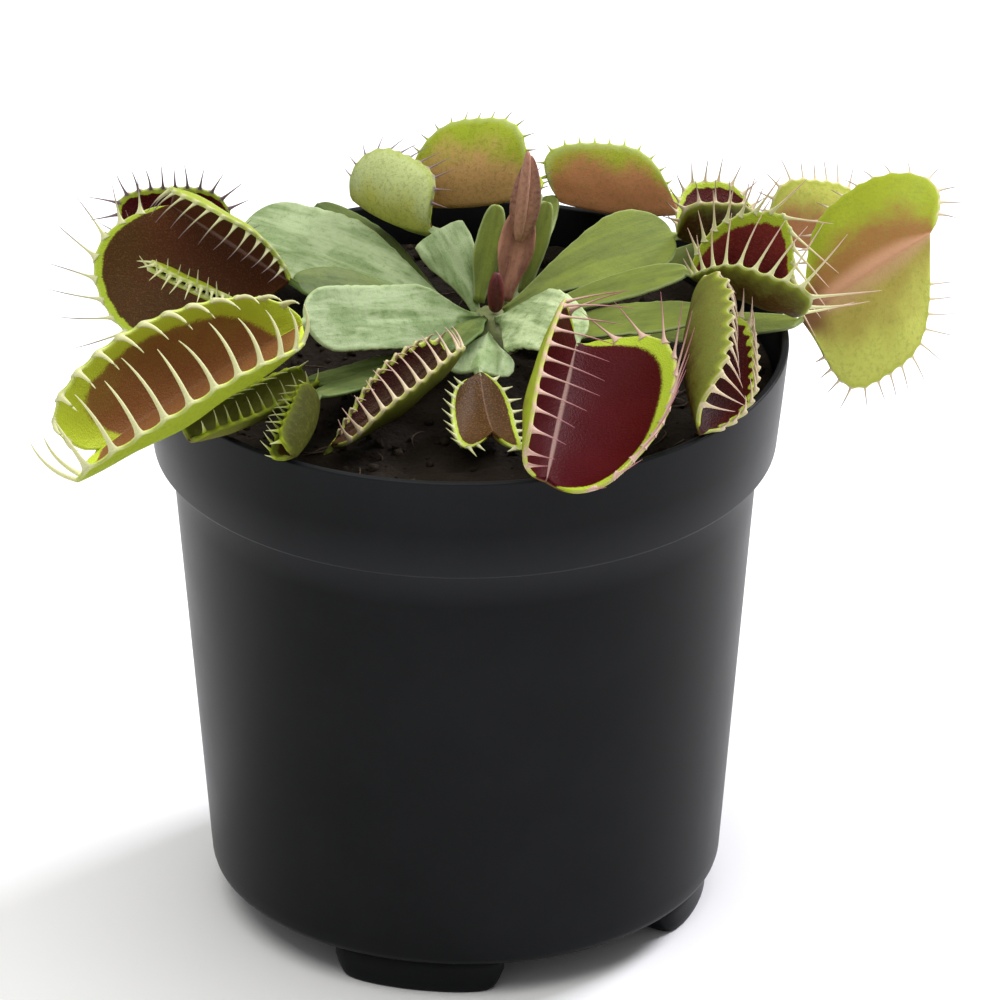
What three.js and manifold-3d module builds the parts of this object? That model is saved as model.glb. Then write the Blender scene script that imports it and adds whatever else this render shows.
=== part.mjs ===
// Venus flytrap in a round nursery pot. Millimetres, +Z up, +Y away from the front of the plant.
// The pot stands on its four feet at Z = 0; PLACE moves the pot's axis so that the middle of the
// whole plant's footprint is the origin.
import * as THREE from "three";
import { mergeVertices } from "three/addons/utils/BufferGeometryUtils.js";
import Module from "manifold-3d";

const wasm = await Module();
wasm.setup();

// Driving dimensions
const PLACE = [-5.9, 7.9, 0];
const FOOT_HEIGHT = 5;
const LEDGE_HEIGHT = 69.9;
const POT_HEIGHT = 85.2;
const RIM_RADIUS = 45;
const LEDGE_RADIUS = 43.35;
const BODY_TOP_RADIUS = 41;
const BODY_FOOT_RADIUS = 35.8;
const WALL = 1.1;
const FLOOR = 1.4;
const FOOT_OUTER = 34;
const FOOT_INNER = 25;
const FOOT_SPAN = 44;
const FOOT_BEARINGS = [-102, -12, 78, 168];
const GAP = 0.3;
const SOIL_HEIGHT = 79.5;
const CROWN = [3.5, 9.5];
const CROWN_RADIUS = 4.2;
const CROWN_TAPER = [80.5, 82.5];
const CROWN_TOP = 84.6;
const HOLE_DEPTH = 9;
const BLADE = 0.7;
const NECK = 1.5;

// Colours
const LOOKS = {
  plastic: { color: 0x24262b, roughness: 0.55 },
  peat: { color: 0x14110f, roughness: 1 },
  sage: { color: 0x9db683, roughness: 0.6 },
  deep: { color: 0x55702f, roughness: 0.6 },
  lime: { color: 0x9bb03a, roughness: 0.5 },
  maroon: { color: 0x6a1f1e, roughness: 0.5 },
  umber: { color: 0x7d4a28, roughness: 0.5 },
  rose: { color: 0xa8705f, roughness: 0.55 },
};

// A lobe: its breadth, its angles at the midrib and the margin in degrees, how far its margin slips
// towards the tip, what share of half its length it reaches past the neck and past the tip, and its
// outline at either end, from 0.3 for a square corner to 1 for an oval
const lobe = (breadth, first, final, slip, past, square) => ({ breadth, first, final, slip, past, square });

// Teeth of a trap: their count on a lobe and, for either lobe, their length, their turns towards the
// mouth in degrees and towards the tip, and how much longer they get towards the tip
const teeth = (count, length, lean, sway, taper) => ({ count, length, lean, sway, taper });

// The leaves. root: bearing on the crown and height; lift: rise of the petiole's middle over the straight
// line; wide: breadth of its blade; full: where it is broadest, or the end of its even stretch where even
// is given; fold: how far its halves are folded up; face: the side it shows. neck and tip: the two ends
// of the trap's midrib; opens: the way its mouth looks.
const LEAVES = [
  {
    name: "a", look: "lime", blade: "sage",
    root: [212, 84.2], lift: 0.5, wide: 9.4, full: 0.85, even: 0.36, fold: 4, face: [-0.1, -0.9, 0.6],
    neck: [-23.2, -20.8, 97.2], tip: [-50.4, -44.5, 89.9], opens: [0.3, -0.85, 0.43],
    lobes: [
      lobe(15.3, 81, 33, 9.7, [0.2, 0.43], [1.01, 1.03]),
      lobe(17.1, 35, -40, 8.8, [-0.04, 0.8], [0.75, 0.95]),
    ],
    teeth: teeth(13, [5, 9.5], [70, 62], [0, 0], [0, 0.15]),
  },
  {
    name: "b", look: "umber", blade: "deep",
    root: [190, 82.4], lift: 2, wide: 9, full: 0.6, fold: 4, face: [0, -0.4, 1],
    neck: [-23.4, -4.8, 95.9], tip: [-40.1, 8.5, 101.2], opens: [0.05, -0.95, 0.31],
    lobes: [
      lobe(16.7, 37, -7, -4.1, [-0.3, -0.07], [1.2, 0.43]),
      lobe(18.4, 90, 70, 6.6, [-0.04, 0.8], [0.48, 1.2]),
    ],
    teeth: teeth(14, [5.5, 8], [75, 25], [0.3, 0.4], [0, 0]),
  },
  {
    name: "c", look: "maroon", blade: "sage",
    root: [158, 82.4], lift: 3, wide: 14, full: 0.86, even: 0.62, fold: 6, face: [0, -0.4, 1],
    neck: [-32.3, 28.7, 87.2], tip: [-47.4, 28.6, 86.6], opens: [0.01, -0.48, 0.88],
    lobes: [
      lobe(7.4, 74, 14, 1.5, [-0.02, 0.23], [0.6, 0.67]),
      lobe(7.4, 70, 5, 0, [0.06, 0.1], [0.6, 0.6]),
    ],
    teeth: teeth(12, [6.5, 6.5], [20, 20], [0, 0], [0, 0]),
  },
  {
    name: "d", look: "umber", blade: "deep",
    root: [205, 80.6], lift: -3, wide: 3.6, full: 0.4, fold: 4, face: [0, 0, 1],
    neck: [-29.5, -12.2, 94.7], tip: [-43.1, -6.6, 99], opens: [0, -0.82, 0.57],
    lobes: [
      lobe(5.1, 34, -40, 2.9, [-0.3, -0.3], [0.65, 0.77]),
      lobe(3, 34, -9, 1.5, [0.02, -0.01], [0.5, 0.9]),
    ],
    teeth: teeth(10, [3, 4.2], [20, 20], [0, 0], [0, 0]),
  },
  {
    name: "e", look: "lime", blade: "deep",
    root: [224, 80.6], lift: -0.6, wide: 6, full: 0.6, fold: 4, face: [0, 0, 1],
    neck: [-22, -16.6, 84.7], tip: [-37.6, -37.2, 86.7], opens: [0, -0.5, 1],
    lobes: [
      lobe(4.6, 70, 0, 0, [0.06, 0.1], [0.6, 0.6]),
      lobe(4.6, 70, 0, 0, [0.06, 0.1], [0.6, 0.6]),
    ],
    teeth: teeth(11, [3, 3], [45, 45], [0, 0], [0, 0]),
  },
  {
    name: "f", look: "lime", blade: "sage",
    root: [236, 82.4], lift: -1.7, wide: 5, full: 0.6, fold: 4, face: [0, 0, 1],
    neck: [-19.3, -25.5, 88.1], tip: [-22.4, -40.5, 86.8], opens: [-0.9, 0.3, 0.4],
    lobes: [
      lobe(4.6, 60, 0, 0, [0.06, 0.1], [0.6, 0.6]),
      lobe(4.6, 60, 0, 0, [0.06, 0.1], [0.6, 0.6]),
    ],
    teeth: teeth(9, [2.6, 2.6], [30, 30], [0, 0], [0, 0]),
  },
  {
    name: "g", look: "lime", blade: "sage",
    root: [243, 84.2], lift: 1, wide: 4.5, full: 0.55, fold: 4, face: [0, -0.2, 1],
    neck: [-2.4, -11.3, 87.3], tip: [-18, -27.5, 81.1], opens: [-0.25, -0.38, 0.89],
    lobes: [
      lobe(5.3, 41, 21, -3.1, [-0.05, -0.3], [0.96, 1.12]),
      lobe(10.4, 79, 3, -1.2, [-0.03, 0.02], [0.67, 0.69]),
    ],
    teeth: teeth(13, [5.2, 5.2], [70, 70], [0.25, -0.25], [0, 0]),
  },
  {
    name: "h", look: "umber", blade: "sage",
    root: [266, 82.4], lift: 2, wide: 10, full: 0.7, fold: -22, face: [0, -0.6, 1],
    neck: [1.8, -13, 85.4], tip: [3.6, -25.4, 82.3], opens: [0.25, -0.36, 0.9],
    lobes: [
      lobe(5.9, 100, 57, 6.5, [0.12, 0.12], [0.38, 0.57]),
      lobe(4, 99, 79, 2.4, [0.12, 0.8], [0.79, 0.48]),
    ],
    teeth: teeth(10, [2, 2], [5, 5], [0, 0], [0, 0]),
  },
  {
    name: "i", look: "maroon", blade: "sage",
    root: [300, 84.2], lift: 3, wide: 11, full: 0.4, fold: -4, face: [0, -0.8, 0.7],
    neck: [14.8, -18.7, 91.9], tip: [10.6, -47.3, 85.5], opens: [0.27, -0.04, 0.96],
    lobes: [
      lobe(15.3, 59, -19, 8.5, [0.8, 0.15], [1.04, 0.7]),
      lobe(16.6, 100, 28, -5.8, [0.13, 0.8], [0.83, 0.65]),
    ],
    teeth: teeth(13, [8.5, 8.5], [80, 25], [0, -0.9], [-0.6, -0.35]),
  },
  {
    name: "j", look: "lime", blade: "sage",
    root: [325, 80.6], lift: 2, wide: 8, full: 0.6, fold: 4, face: [0, -0.3, 1],
    neck: [31.6, -8.6, 91.2], tip: [31.2, -31.1, 85.1], opens: [0.82, -0.04, 0.57],
    lobes: [
      lobe(13.9, 94, -40, -4.9, [0.05, 0.28], [0.8, 0.66]),
      lobe(9.5, 66, -5, -1.1, [0.34, -0.3], [0.82, 0.75]),
    ],
    teeth: teeth(13, [6.5, 5], [75, 60], [0, 0], [0, 0]),
  },
  {
    name: "k", look: "maroon", blade: "sage",
    root: [342, 82.4], lift: 2, wide: 6, full: 0.6, fold: 4, face: [0, -0.3, 1],
    neck: [31.5, 4.2, 92.5], tip: [45.2, -2.6, 89.9], opens: [-0.25, -0.61, 0.75],
    lobes: [
      lobe(12.6, 35, -40, 2.8, [-0.04, 0.8], [0.96, 0.75]),
      lobe(13.3, 64, 44, 2.5, [0.32, -0.3], [1.01, 1.2]),
    ],
    teeth: teeth(13, [8.5, 8.5], [35, 15], [0.2, 1], [0.55, 0.3]),
  },
  {
    name: "l", look: "maroon", blade: "sage",
    root: [22, 84.2], lift: 3, wide: 12, full: 0.75, fold: 6, face: [0, -0.5, 1],
    neck: [29.5, 18, 91.1], tip: [42, 25.8, 87.7], opens: [-0.12, -0.01, 0.99],
    lobes: [
      lobe(9.3, 59, 12, -1.8, [0.38, -0.2], [0.69, 1.19]),
      lobe(9.5, 63, 27, -1.2, [-0.3, -0.04], [1.1, 0.52]),
    ],
    teeth: teeth(10, [4, 4], [25, 25], [0, 0], [0, 0]),
  },
  {
    name: "m", look: "lime", blade: "sage",
    root: [350, 80.6], lift: 0, wide: 6, full: 0.6, fold: 4, face: [0, -0.2, 1],
    neck: [46.9, 0.8, 88], tip: [65, 12.5, 95.5], opens: [0.29, 0.87, -0.4],
    lobes: [
      lobe(14.3, 69, 49, 8.9, [-0.26, 0.8], [0.35, 1.14]),
      lobe(14.3, 69, 49, -3.4, [-0.3, -0.3], [0.47, 0.49]),
    ],
    teeth: teeth(14, [4, 5.5], [10, 10], [0, 0], [0, 0.5]),
  },
  {
    name: "n", look: "lime", blade: "deep",
    root: [15, 80.6], lift: 1, wide: 6, full: 0.6, fold: 4, face: [0, -0.2, 1],
    neck: [42, 27, 87], tip: [56.5, 32.7, 82.6], opens: [-0.23, 0.73, 0.64],
    lobes: [
      lobe(9.9, 71, 13, -2, [-0.11, 0], [0.63, 0.6]),
      lobe(9.3, 69, 23, 0, [0.04, 0.04], [0.58, 0.6]),
    ],
    teeth: teeth(12, [4, 4], [10, 10], [0, 0], [0, 0]),
  },
  {
    name: "o", look: "lime", blade: "sage",
    root: [82, 84.2], lift: 2, wide: 3.2, full: 0.6, fold: 4, face: [0, -0.6, 1],
    neck: [8.9, 23.3, 95.1], tip: [-9.4, 29.7, 90.9], opens: [0.3, 0.77, 0.56],
    lobes: [
      lobe(12.7, 64, 17, 0.2, [0, 0.1], [0.63, 0.56]),
      lobe(12.8, 70, -8, -3, [-0.12, -0.27], [0.69, 0.51]),
    ],
    teeth: teeth(13, [2.2, 2.2], [10, 10], [0, 0], [0, 0]),
  },
  {
    name: "p", look: "lime", blade: "sage",
    root: [57, 82.4], lift: 1, wide: 4.5, full: 0.6, fold: 4, face: [0, -0.5, 1],
    neck: [13.1, 32.9, 89.8], tip: [30.2, 32.5, 88], opens: [-0.02, 0.82, 0.57],
    lobes: [
      lobe(9.6, 57, 9, -2.2, [0.53, -0.26], [0.92, 0.58]),
      lobe(9.6, 65, 15, 0, [0.06, 0.1], [0.6, 0.6]),
    ],
    teeth: teeth(12, [1.6, 1.6], [10, 10], [0, 0], [0, 0]),
  },
  {
    name: "q", look: "lime", blade: "sage",
    root: [122, 82.4], lift: 2, wide: 8, full: 0.93, even: 0.8, fold: 4, face: [0, -0.8, 1],
    neck: [-5.2, 18.5, 92], tip: [-16.4, 30.3, 91.6], opens: [0.55, 0.52, 0.65],
    lobes: [
      lobe(5.2, 84, 66, -1, [-0.1, -0.25], [0.6, 0.6]),
      lobe(11, 86, -24, 0.6, [0.2, -0.24], [0.6, 0.7]),
    ],
    teeth: teeth(12, [4.2, 4.2], [10, 10], [0, 0], [0, 0]),
  },
];

// Blades with no open trap: where they start and end, and as in the leaves above
const SHOOTS = [
  {
    name: "young_petiole", look: "rose", from: [5.6, 11.3, 85.3], to: [8, 15.4, 97.2], wide: 5.2, full: 0.6,
    face: [0.1, -1, 0.2], end: 0.9,
  },
  {
    name: "leaflet_left", look: "sage", from: [1.9, 12.6, 84.5], to: [4.5, 16.8, 97.5], wide: 4.2, full: 0.5,
    face: [-0.2, -1, 0.3], end: 0.5,
  },
  {
    name: "leaflet_right", look: "sage", from: [8.1, 14.2, 85], to: [11.4, 19.8, 96.6], wide: 3.4, full: 0.6,
    face: [0.2, -1, 0.3], end: 0.5,
  },
  {
    name: "petiole_r", look: "deep", from: [-0.8, 13, 80.8], to: [-21, 36, 88.2], wide: 7, full: 0.6,
    face: [0, -0.4, 1], end: 0.5,
  },
];
const SHOOT_BASE = 0.9;

// The young leaf's shut trap, flanks and ridge, and the bud. square: how they taper, from 0.3 for blunt
// ends to 1 for sharp ones
const YOUNG_TRAP = [
  { from: [7.7, 12.7, 93.6], to: [9.2, 14.6, 106.2], width: 4.9, depth: 1.5, square: 0.6 },
  { from: [7.3, 12.3, 94.2], to: [8.8, 13.7, 107.2], width: 1.9, depth: 3.2, square: 0.3 },
];
const BUD = { from: [4.2, 8.6, 84.9], to: [4.4, 8.6, 91], width: 2.7, depth: 2.4, square: 0.35 };

const vec = (p) => new THREE.Vector3(...p);
const rad = THREE.MathUtils.degToRad;

// Repeatable scatter between -1 and 1 for the n-th small feature of a piece
const scatter = (n, seed = 0) => {
  const s = Math.sin(12.9898 * n + 78.233 * seed + 1.7) * 43758.5453;
  return 2 * (s - Math.floor(s)) - 1;
};

// A closed surface put together from points and the triangles between them
class Skin {
  constructor() {
    this.points = [];
    this.faces = [];
  }
  add(p) {
    return this.points.push(p) - 1;
  }
  // flip turns a face round
  face(flip, a, b, c) {
    this.faces.push(...(flip ? [a, c, b] : [a, b, c]));
  }
  quad(flip, a, b, c, d) {
    this.face(flip, a, b, c);
    this.face(flip, a, c, d);
  }
  geometry() {
    const volume = this.faces.reduce((sum, _, i) => {
      if (i % 3) return sum;
      const [a, b, c] = [0, 1, 2].map((k) => this.points[this.faces[i + k]]);
      return sum + a.dot(b.clone().cross(c));
    }, 0);
    const order = volume < 0 ? [...this.faces].reverse() : this.faces;
    const g = new THREE.BufferGeometry();
    g.setFromPoints(this.points);
    g.setIndex(order);
    g.computeVertexNormals();
    return g;
  }
}

// The crown's radius at a height: even up to its foot's end, then tapering in two stages
function crownRadius(z) {
  const [from, to] = CROWN_TAPER;
  const waist = CROWN_RADIUS - 0.9;
  const low = THREE.MathUtils.mapLinear(z, from, to, CROWN_RADIUS, waist);
  const high = THREE.MathUtils.mapLinear(z, to, CROWN_TOP, waist, waist - 1.5);
  return Math.min(CROWN_RADIUS, low, high);
}

// A trap's midrib: its middle, length, directions, and how far its ends bend up towards the mouth
function midrib(leaf) {
  const neck = vec(leaf.neck);
  const axis = vec(leaf.tip).sub(neck);
  const length = axis.length();
  axis.normalize();
  const mouth = vec(leaf.opens);
  mouth.addScaledVector(axis, -mouth.dot(axis)).normalize();
  return { neck, axis, length, mouth, across: axis.clone().cross(mouth), arch: 0.06 * length };
}

// A petiole: a blade along a bent path, narrow at the crown, broad further out, narrow at the trap's neck
function petiole(leaf, seed) {
  const [bearing, height] = leaf.root;
  const reach = crownRadius(height - 0.7) + GAP + 0.1;
  const start = new THREE.Vector3(
    CROWN[0] + reach * Math.cos(rad(bearing)),
    CROWN[1] + reach * Math.sin(rad(bearing)),
    height,
  );
  const { neck, axis, mouth, arch } = midrib(leaf);
  const end = neck.addScaledVector(mouth, arch);
  // A petiole that meets its trap at an angle stops a little sooner
  const bend = end.clone().sub(start).normalize().cross(axis).length();
  end.addScaledVector(axis, -GAP - 0.75 * bend);
  return blade({ ...leaf, from: start, to: end, base: 0.65, end: NECK / 2, seed });
}

// A leaf blade between two places
function blade({ from, to, lift, wide, full, even = full, fold, face: facing, base, end, seed }) {
  const middle = from.clone().add(to).multiplyScalar(0.5);
  middle.z += lift;
  const path = new THREE.QuadraticBezierCurve3(from, middle, to);
  const rows = 8;
  const stations = [-1, -0.72, -0.3, 0, 0.3, 0.72, 1];
  const skin = new Skin();
  const face = vec(facing).normalize();
  const half = wide / 2;
  const grid = [[], []];
  for (let r = 0; r <= rows; r++) {
    const t = r < rows ? 1 - (1 - r / rows) ** 1.25 : 1;
    const spot = path.getPoint(t);
    const along = path.getTangent(t);
    const side = along.clone().cross(face).normalize();
    const up = side.clone().cross(along).normalize();
    const grow = THREE.MathUtils.smoothstep(t, 0, even);
    const round = Math.sqrt(Math.max(0, 1 - ((t - full) / (1 - full)) ** 2));
    const breadth = t < full ? base + (half - base) * grow : end + (half - end) * round;
    const wave = 0.09 * breadth * Math.sin(Math.PI * t);
    for (const [f, sign] of [[0, 1], [1, -1]]) {
      grid[f].push(
        stations.map((v) => {
          const ripple = wave * v * v * Math.sin(9 * t + seed + (v < 0 ? 2 : 0));
          const rise = breadth * Math.abs(v) * Math.sin(rad(fold)) + ripple;
          const thick = BLADE / 2 + 0.3 * (1 - Math.abs(v)) ** 2;
          const p = spot.clone().addScaledVector(side, breadth * v * Math.cos(rad(fold)));
          return skin.add(p.addScaledVector(up, rise + sign * thick));
        }),
      );
    }
  }
  const last = stations.length - 1;
  for (let r = 0; r < rows; r++) {
    for (const f of [0, 1]) {
      for (let c = 0; c < last; c++) {
        skin.quad(f === 1, grid[f][r][c], grid[f][r][c + 1], grid[f][r + 1][c + 1], grid[f][r + 1][c]);
      }
    }
    skin.quad(true, grid[0][r][0], grid[1][r][0], grid[1][r + 1][0], grid[0][r + 1][0]);
    skin.quad(false, grid[0][r][last], grid[1][r][last], grid[1][r + 1][last], grid[0][r + 1][last]);
  }
  for (let c = 0; c < last; c++) {
    skin.quad(false, grid[0][0][c + 1], grid[0][0][c], grid[1][0][c], grid[1][0][c + 1]);
    skin.quad(true, grid[0][rows][c + 1], grid[0][rows][c], grid[1][rows][c], grid[1][rows][c + 1]);
  }
  return skin.geometry();
}

// A trap: two cupped lobes on one midrib, with a row of teeth along either margin
function trap(leaf, seed) {
  const { neck, axis, length, mouth, across, arch } = midrib(leaf);
  const { count } = leaf.teeth;
  const skin = new Skin();

  // The lobe's sheet at a place along the midrib and a distance out from it
  const sheet = (lobe, side, along, out) => {
    const { breadth, first, final, slip } = lobe;
    const bend = rad(final - first) / breadth;
    const angle = rad(first) + bend * out;
    const q = (2 * along) / length;
    const inward = across.clone().multiplyScalar(-side * Math.cos(angle));
    inward.addScaledVector(mouth, Math.sin(angle));
    const outward = across.clone().multiplyScalar(side * Math.sin(angle));
    outward.addScaledVector(mouth, Math.cos(angle));
    const p = neck.clone().addScaledVector(axis, length / 2 + along + (slip * out) / breadth);
    p.addScaledVector(across, (side * (Math.cos(rad(first)) - Math.cos(angle))) / bend);
    p.addScaledVector(mouth, (Math.sin(angle) - Math.sin(rad(first))) / bend + arch * q * q);
    p.addScaledVector(inward, 0.12 * out * q * q);
    return { p, inward, outward };
  };
  // The margin's place along the midrib and out from it
  const outline = (lobe, turn) => {
    const c = Math.cos(turn);
    const end = c < 0 ? 1 : 0;
    const square = lobe.square[end];
    const share = Math.sin(turn) ** square;
    const along = -0.5 * length * Math.sign(c) * Math.abs(c) ** (square + 0.05);
    return [along * (1 + lobe.past[end] * share ** 0.7), lobe.breadth * share];
  };
  // Turns of the outline at even shares of the margin's length
  const evenTurns = (lobe, side) => {
    const dense = [];
    let run = 0;
    let before = null;
    for (let n = 0; n <= 168; n++) {
      const turn = rad(6 + n);
      const { p } = sheet(lobe, side, ...outline(lobe, turn));
      run += before ? p.distanceTo(before) : 0;
      before = p;
      dense.push([run, turn]);
    }
    return (share) => {
      const at = share * run;
      const n = Math.max(1, dense.findIndex(([reached]) => reached >= at - 1e-9));
      const [[low, from], [high, to]] = [dense[n - 1], dense[n]];
      return THREE.MathUtils.mapLinear(at, low, high, from, to);
    };
  };
  const pair = (spot, normal, thick) => [
    skin.add(spot.clone().addScaledVector(normal, thick)),
    skin.add(spot.clone().addScaledVector(normal, -thick)),
  ];

  const spine = [];
  for (let k = 0; k <= count; k++) {
    const along = length * (k / count - 0.5);
    const { p } = sheet(leaf.lobes[0], 1, along, 0);
    spine.push(pair(p, mouth, BLADE / 2 + 0.2));
  }
  leaf.lobes.forEach((lobe, l) => {
    const side = l ? -1 : 1;
    const flip = l === 1;
    const traits = ["length", "lean", "sway", "taper"];
    const [toothLength, lean, sway, taper] = traits.map((trait) => leaf.teeth[trait][l]);
    const turnAt = evenTurns(lobe, side);
    // Gaps are wider than teeth
    const turns = (i) => turnAt((Math.floor(i / 2) + (i % 2 ? 0.6 : 0)) / (count + 0.6));
    const steps = length > 22 ? [0.36, 0.72] : [0.5];
    const rows = [spine];
    for (const step of steps) {
      const row = [];
      for (let k = 0; k <= count; k++) {
        // The end columns run to the outline's two ends
        const middle = (turns(2 * k) + turns(2 * k + 1)) / 2;
        const rim = outline(lobe, k % count ? middle : turns(k ? 2 * count + 1 : 0));
        const along = length * (k / count - 0.5);
        const at = sheet(lobe, side, along + (rim[0] - along) * step, rim[1] * step);
        row.push(pair(at.p, at.inward, BLADE / 2));
      }
      rows.push(row);
    }
    const margin = [];
    const marginAt = [];
    for (let i = 0; i <= 2 * count + 1; i++) {
      const at = sheet(lobe, side, ...outline(lobe, turns(i)));
      marginAt.push(at);
      margin.push(pair(at.p, at.inward, BLADE / 2));
    }
    for (const f of [0, 1]) {
      const turn = flip !== (f === 1);
      for (let k = 0; k < count; k++) {
        for (let j = 0; j + 1 < rows.length; j++) {
          skin.quad(turn, rows[j][k][f], rows[j][k + 1][f], rows[j + 1][k + 1][f], rows[j + 1][k][f]);
        }
      }
      const outer = rows[rows.length - 1];
      for (let k = 0; k <= count; k++) {
        skin.face(turn, outer[k][f], margin[2 * k + 1][f], margin[2 * k][f]);
        if (k < count) {
          skin.quad(turn, outer[k][f], outer[k + 1][f], margin[2 * k + 2][f], margin[2 * k + 1][f]);
        }
      }
    }
    const first = [...rows.map((r) => r[0]), margin[0]];
    const final = [...rows.map((r) => r[count]), margin[2 * count + 1]];
    for (let j = 0; j + 1 < first.length; j++) {
      skin.quad(flip, first[j][0], first[j + 1][0], first[j + 1][1], first[j][1]);
      skin.quad(flip, final[j + 1][0], final[j][0], final[j][1], final[j + 1][1]);
    }
    for (let i = 0; i <= 2 * count; i++) {
      const base = [margin[i][0], margin[i + 1][0], margin[i + 1][1], margin[i][1]];
      if (i % 2 === 0) {
        skin.quad(flip, ...base);
        continue;
      }
      const a = marginAt[i];
      const b = marginAt[i + 1];
      const inward = a.inward.clone().add(b.inward).normalize();
      const edge = b.p.clone().sub(a.p).normalize();
      const outward = edge.clone().cross(inward).multiplyScalar(flip ? -1 : 1);
      const heading = (angle) => {
        const way = outward.clone().multiplyScalar(Math.cos(angle));
        return way.addScaledVector(inward, Math.sin(angle)).addScaledVector(edge, sway).normalize();
      };
      const s = i / (2 * count + 1);
      const swell = (0.55 + 0.45 * Math.sin(Math.PI * s)) * (1 + taper * (2 * s - 1));
      const reach = toothLength * swell * (1 + 0.1 * scatter(i, seed + l));
      const root = a.p.clone().add(b.p).multiplyScalar(0.5);
      const knee = root.clone().addScaledVector(heading(rad(lean * 0.8)), 0.35 * reach);
      const point = knee.clone().addScaledVector(heading(rad(lean * 1.2)), 0.65 * reach);
      const end = skin.add(point);
      if (toothLength < 4.5) {
        base.forEach((id, e) => skin.face(flip, id, base[(e + 1) % 4], end));
        continue;
      }
      // The ring at the knee stands square to the tooth
      const square = heading(rad(lean)).cross(edge).normalize().multiplyScalar(flip ? -0.42 : 0.42);
      const ring = base.map((id) => {
        const off = skin.points[id].clone().sub(root);
        const spot = knee.clone().addScaledVector(edge, 0.42 * off.dot(edge));
        return skin.add(spot.addScaledVector(square, off.dot(inward)));
      });
      for (let e = 0; e < 4; e++) {
        const n = (e + 1) % 4;
        skin.quad(flip, base[e], base[n], ring[n], ring[e]);
        skin.face(flip, ring[e], ring[n], end);
      }
    }
  });
  return skin.geometry();
}

// The same solid as a manifold, and back
function solid(geometry) {
  const g = geometry.clone();
  g.deleteAttribute("normal");
  g.deleteAttribute("uv");
  const merged = mergeVertices(g, 1e-4);
  return new wasm.Manifold(
    new wasm.Mesh({
      numProp: 3,
      vertProperties: new Float32Array(merged.attributes.position.array),
      triVerts: new Uint32Array(merged.index.array),
    }),
  );
}
function surface(made) {
  const m = made.getMesh();
  const g = new THREE.BufferGeometry();
  g.setAttribute("position", new THREE.BufferAttribute(new Float32Array(m.vertProperties), 3));
  g.setIndex(new THREE.BufferAttribute(new Uint32Array(m.triVerts), 1));
  g.computeVertexNormals();
  return g;
}

// A body turned about the pot's axis from its outline of radius and height pairs
function turned(profile, segments) {
  const g = new THREE.LatheGeometry(
    profile.map(([r, z]) => new THREE.Vector2(r, z)),
    segments,
  );
  g.rotateX(Math.PI / 2);
  return g;
}

// Pot: body, ledge, rim band and the four feet joined to its floor
function potGeometry() {
  const inner = (r) => r - WALL;
  const profile = [
    [0, FOOT_HEIGHT],
    [BODY_FOOT_RADIUS - 2.2, FOOT_HEIGHT],
    [BODY_FOOT_RADIUS - 0.7, FOOT_HEIGHT + 0.6],
    [BODY_FOOT_RADIUS, FOOT_HEIGHT + 2.2],
    [BODY_TOP_RADIUS, LEDGE_HEIGHT],
    [LEDGE_RADIUS - 0.3, LEDGE_HEIGHT],
    [LEDGE_RADIUS, LEDGE_HEIGHT + 0.4],
    [RIM_RADIUS, POT_HEIGHT - 0.5],
    [RIM_RADIUS - 0.3, POT_HEIGHT],
    [inner(RIM_RADIUS) + 0.2, POT_HEIGHT],
    [inner(RIM_RADIUS), POT_HEIGHT - 0.4],
    [inner(LEDGE_RADIUS), LEDGE_HEIGHT + 1.6],
    [inner(BODY_TOP_RADIUS), LEDGE_HEIGHT + 0.4],
    [inner(BODY_FOOT_RADIUS), FOOT_HEIGHT + FLOOR],
    [0, FOOT_HEIGHT + FLOOR],
  ];
  let pot = solid(turned(profile, 48));
  for (const bearing of FOOT_BEARINGS) {
    pot = pot.add(solid(footGeometry(bearing)));
  }
  return surface(pot);
}

// One foot: a flat slab in the shape of a ring's sector with rounded corners
function footGeometry(bearing) {
  const middle = rad(bearing - 90);
  const corner = rad(FOOT_SPAN / 2);
  const arc = [];
  const steps = 6;
  const push = (r, a) => arc.push(new THREE.Vector2(r * Math.cos(a), r * Math.sin(a)));
  for (let i = 0; i <= steps; i++) {
    const s = (2 * i) / steps - 1;
    push(FOOT_OUTER - (Math.abs(s) === 1 ? 2 : 0), middle + s * corner);
  }
  push(FOOT_INNER + 1.5, middle + corner);
  push(FOOT_INNER, middle + corner * 0.85);
  push(FOOT_INNER, middle - corner * 0.85);
  push(FOOT_INNER + 1.5, middle - corner);
  return new THREE.ExtrudeGeometry(new THREE.Shape(arc), {
    depth: FOOT_HEIGHT + 0.7,
    bevelEnabled: false,
  });
}

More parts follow.
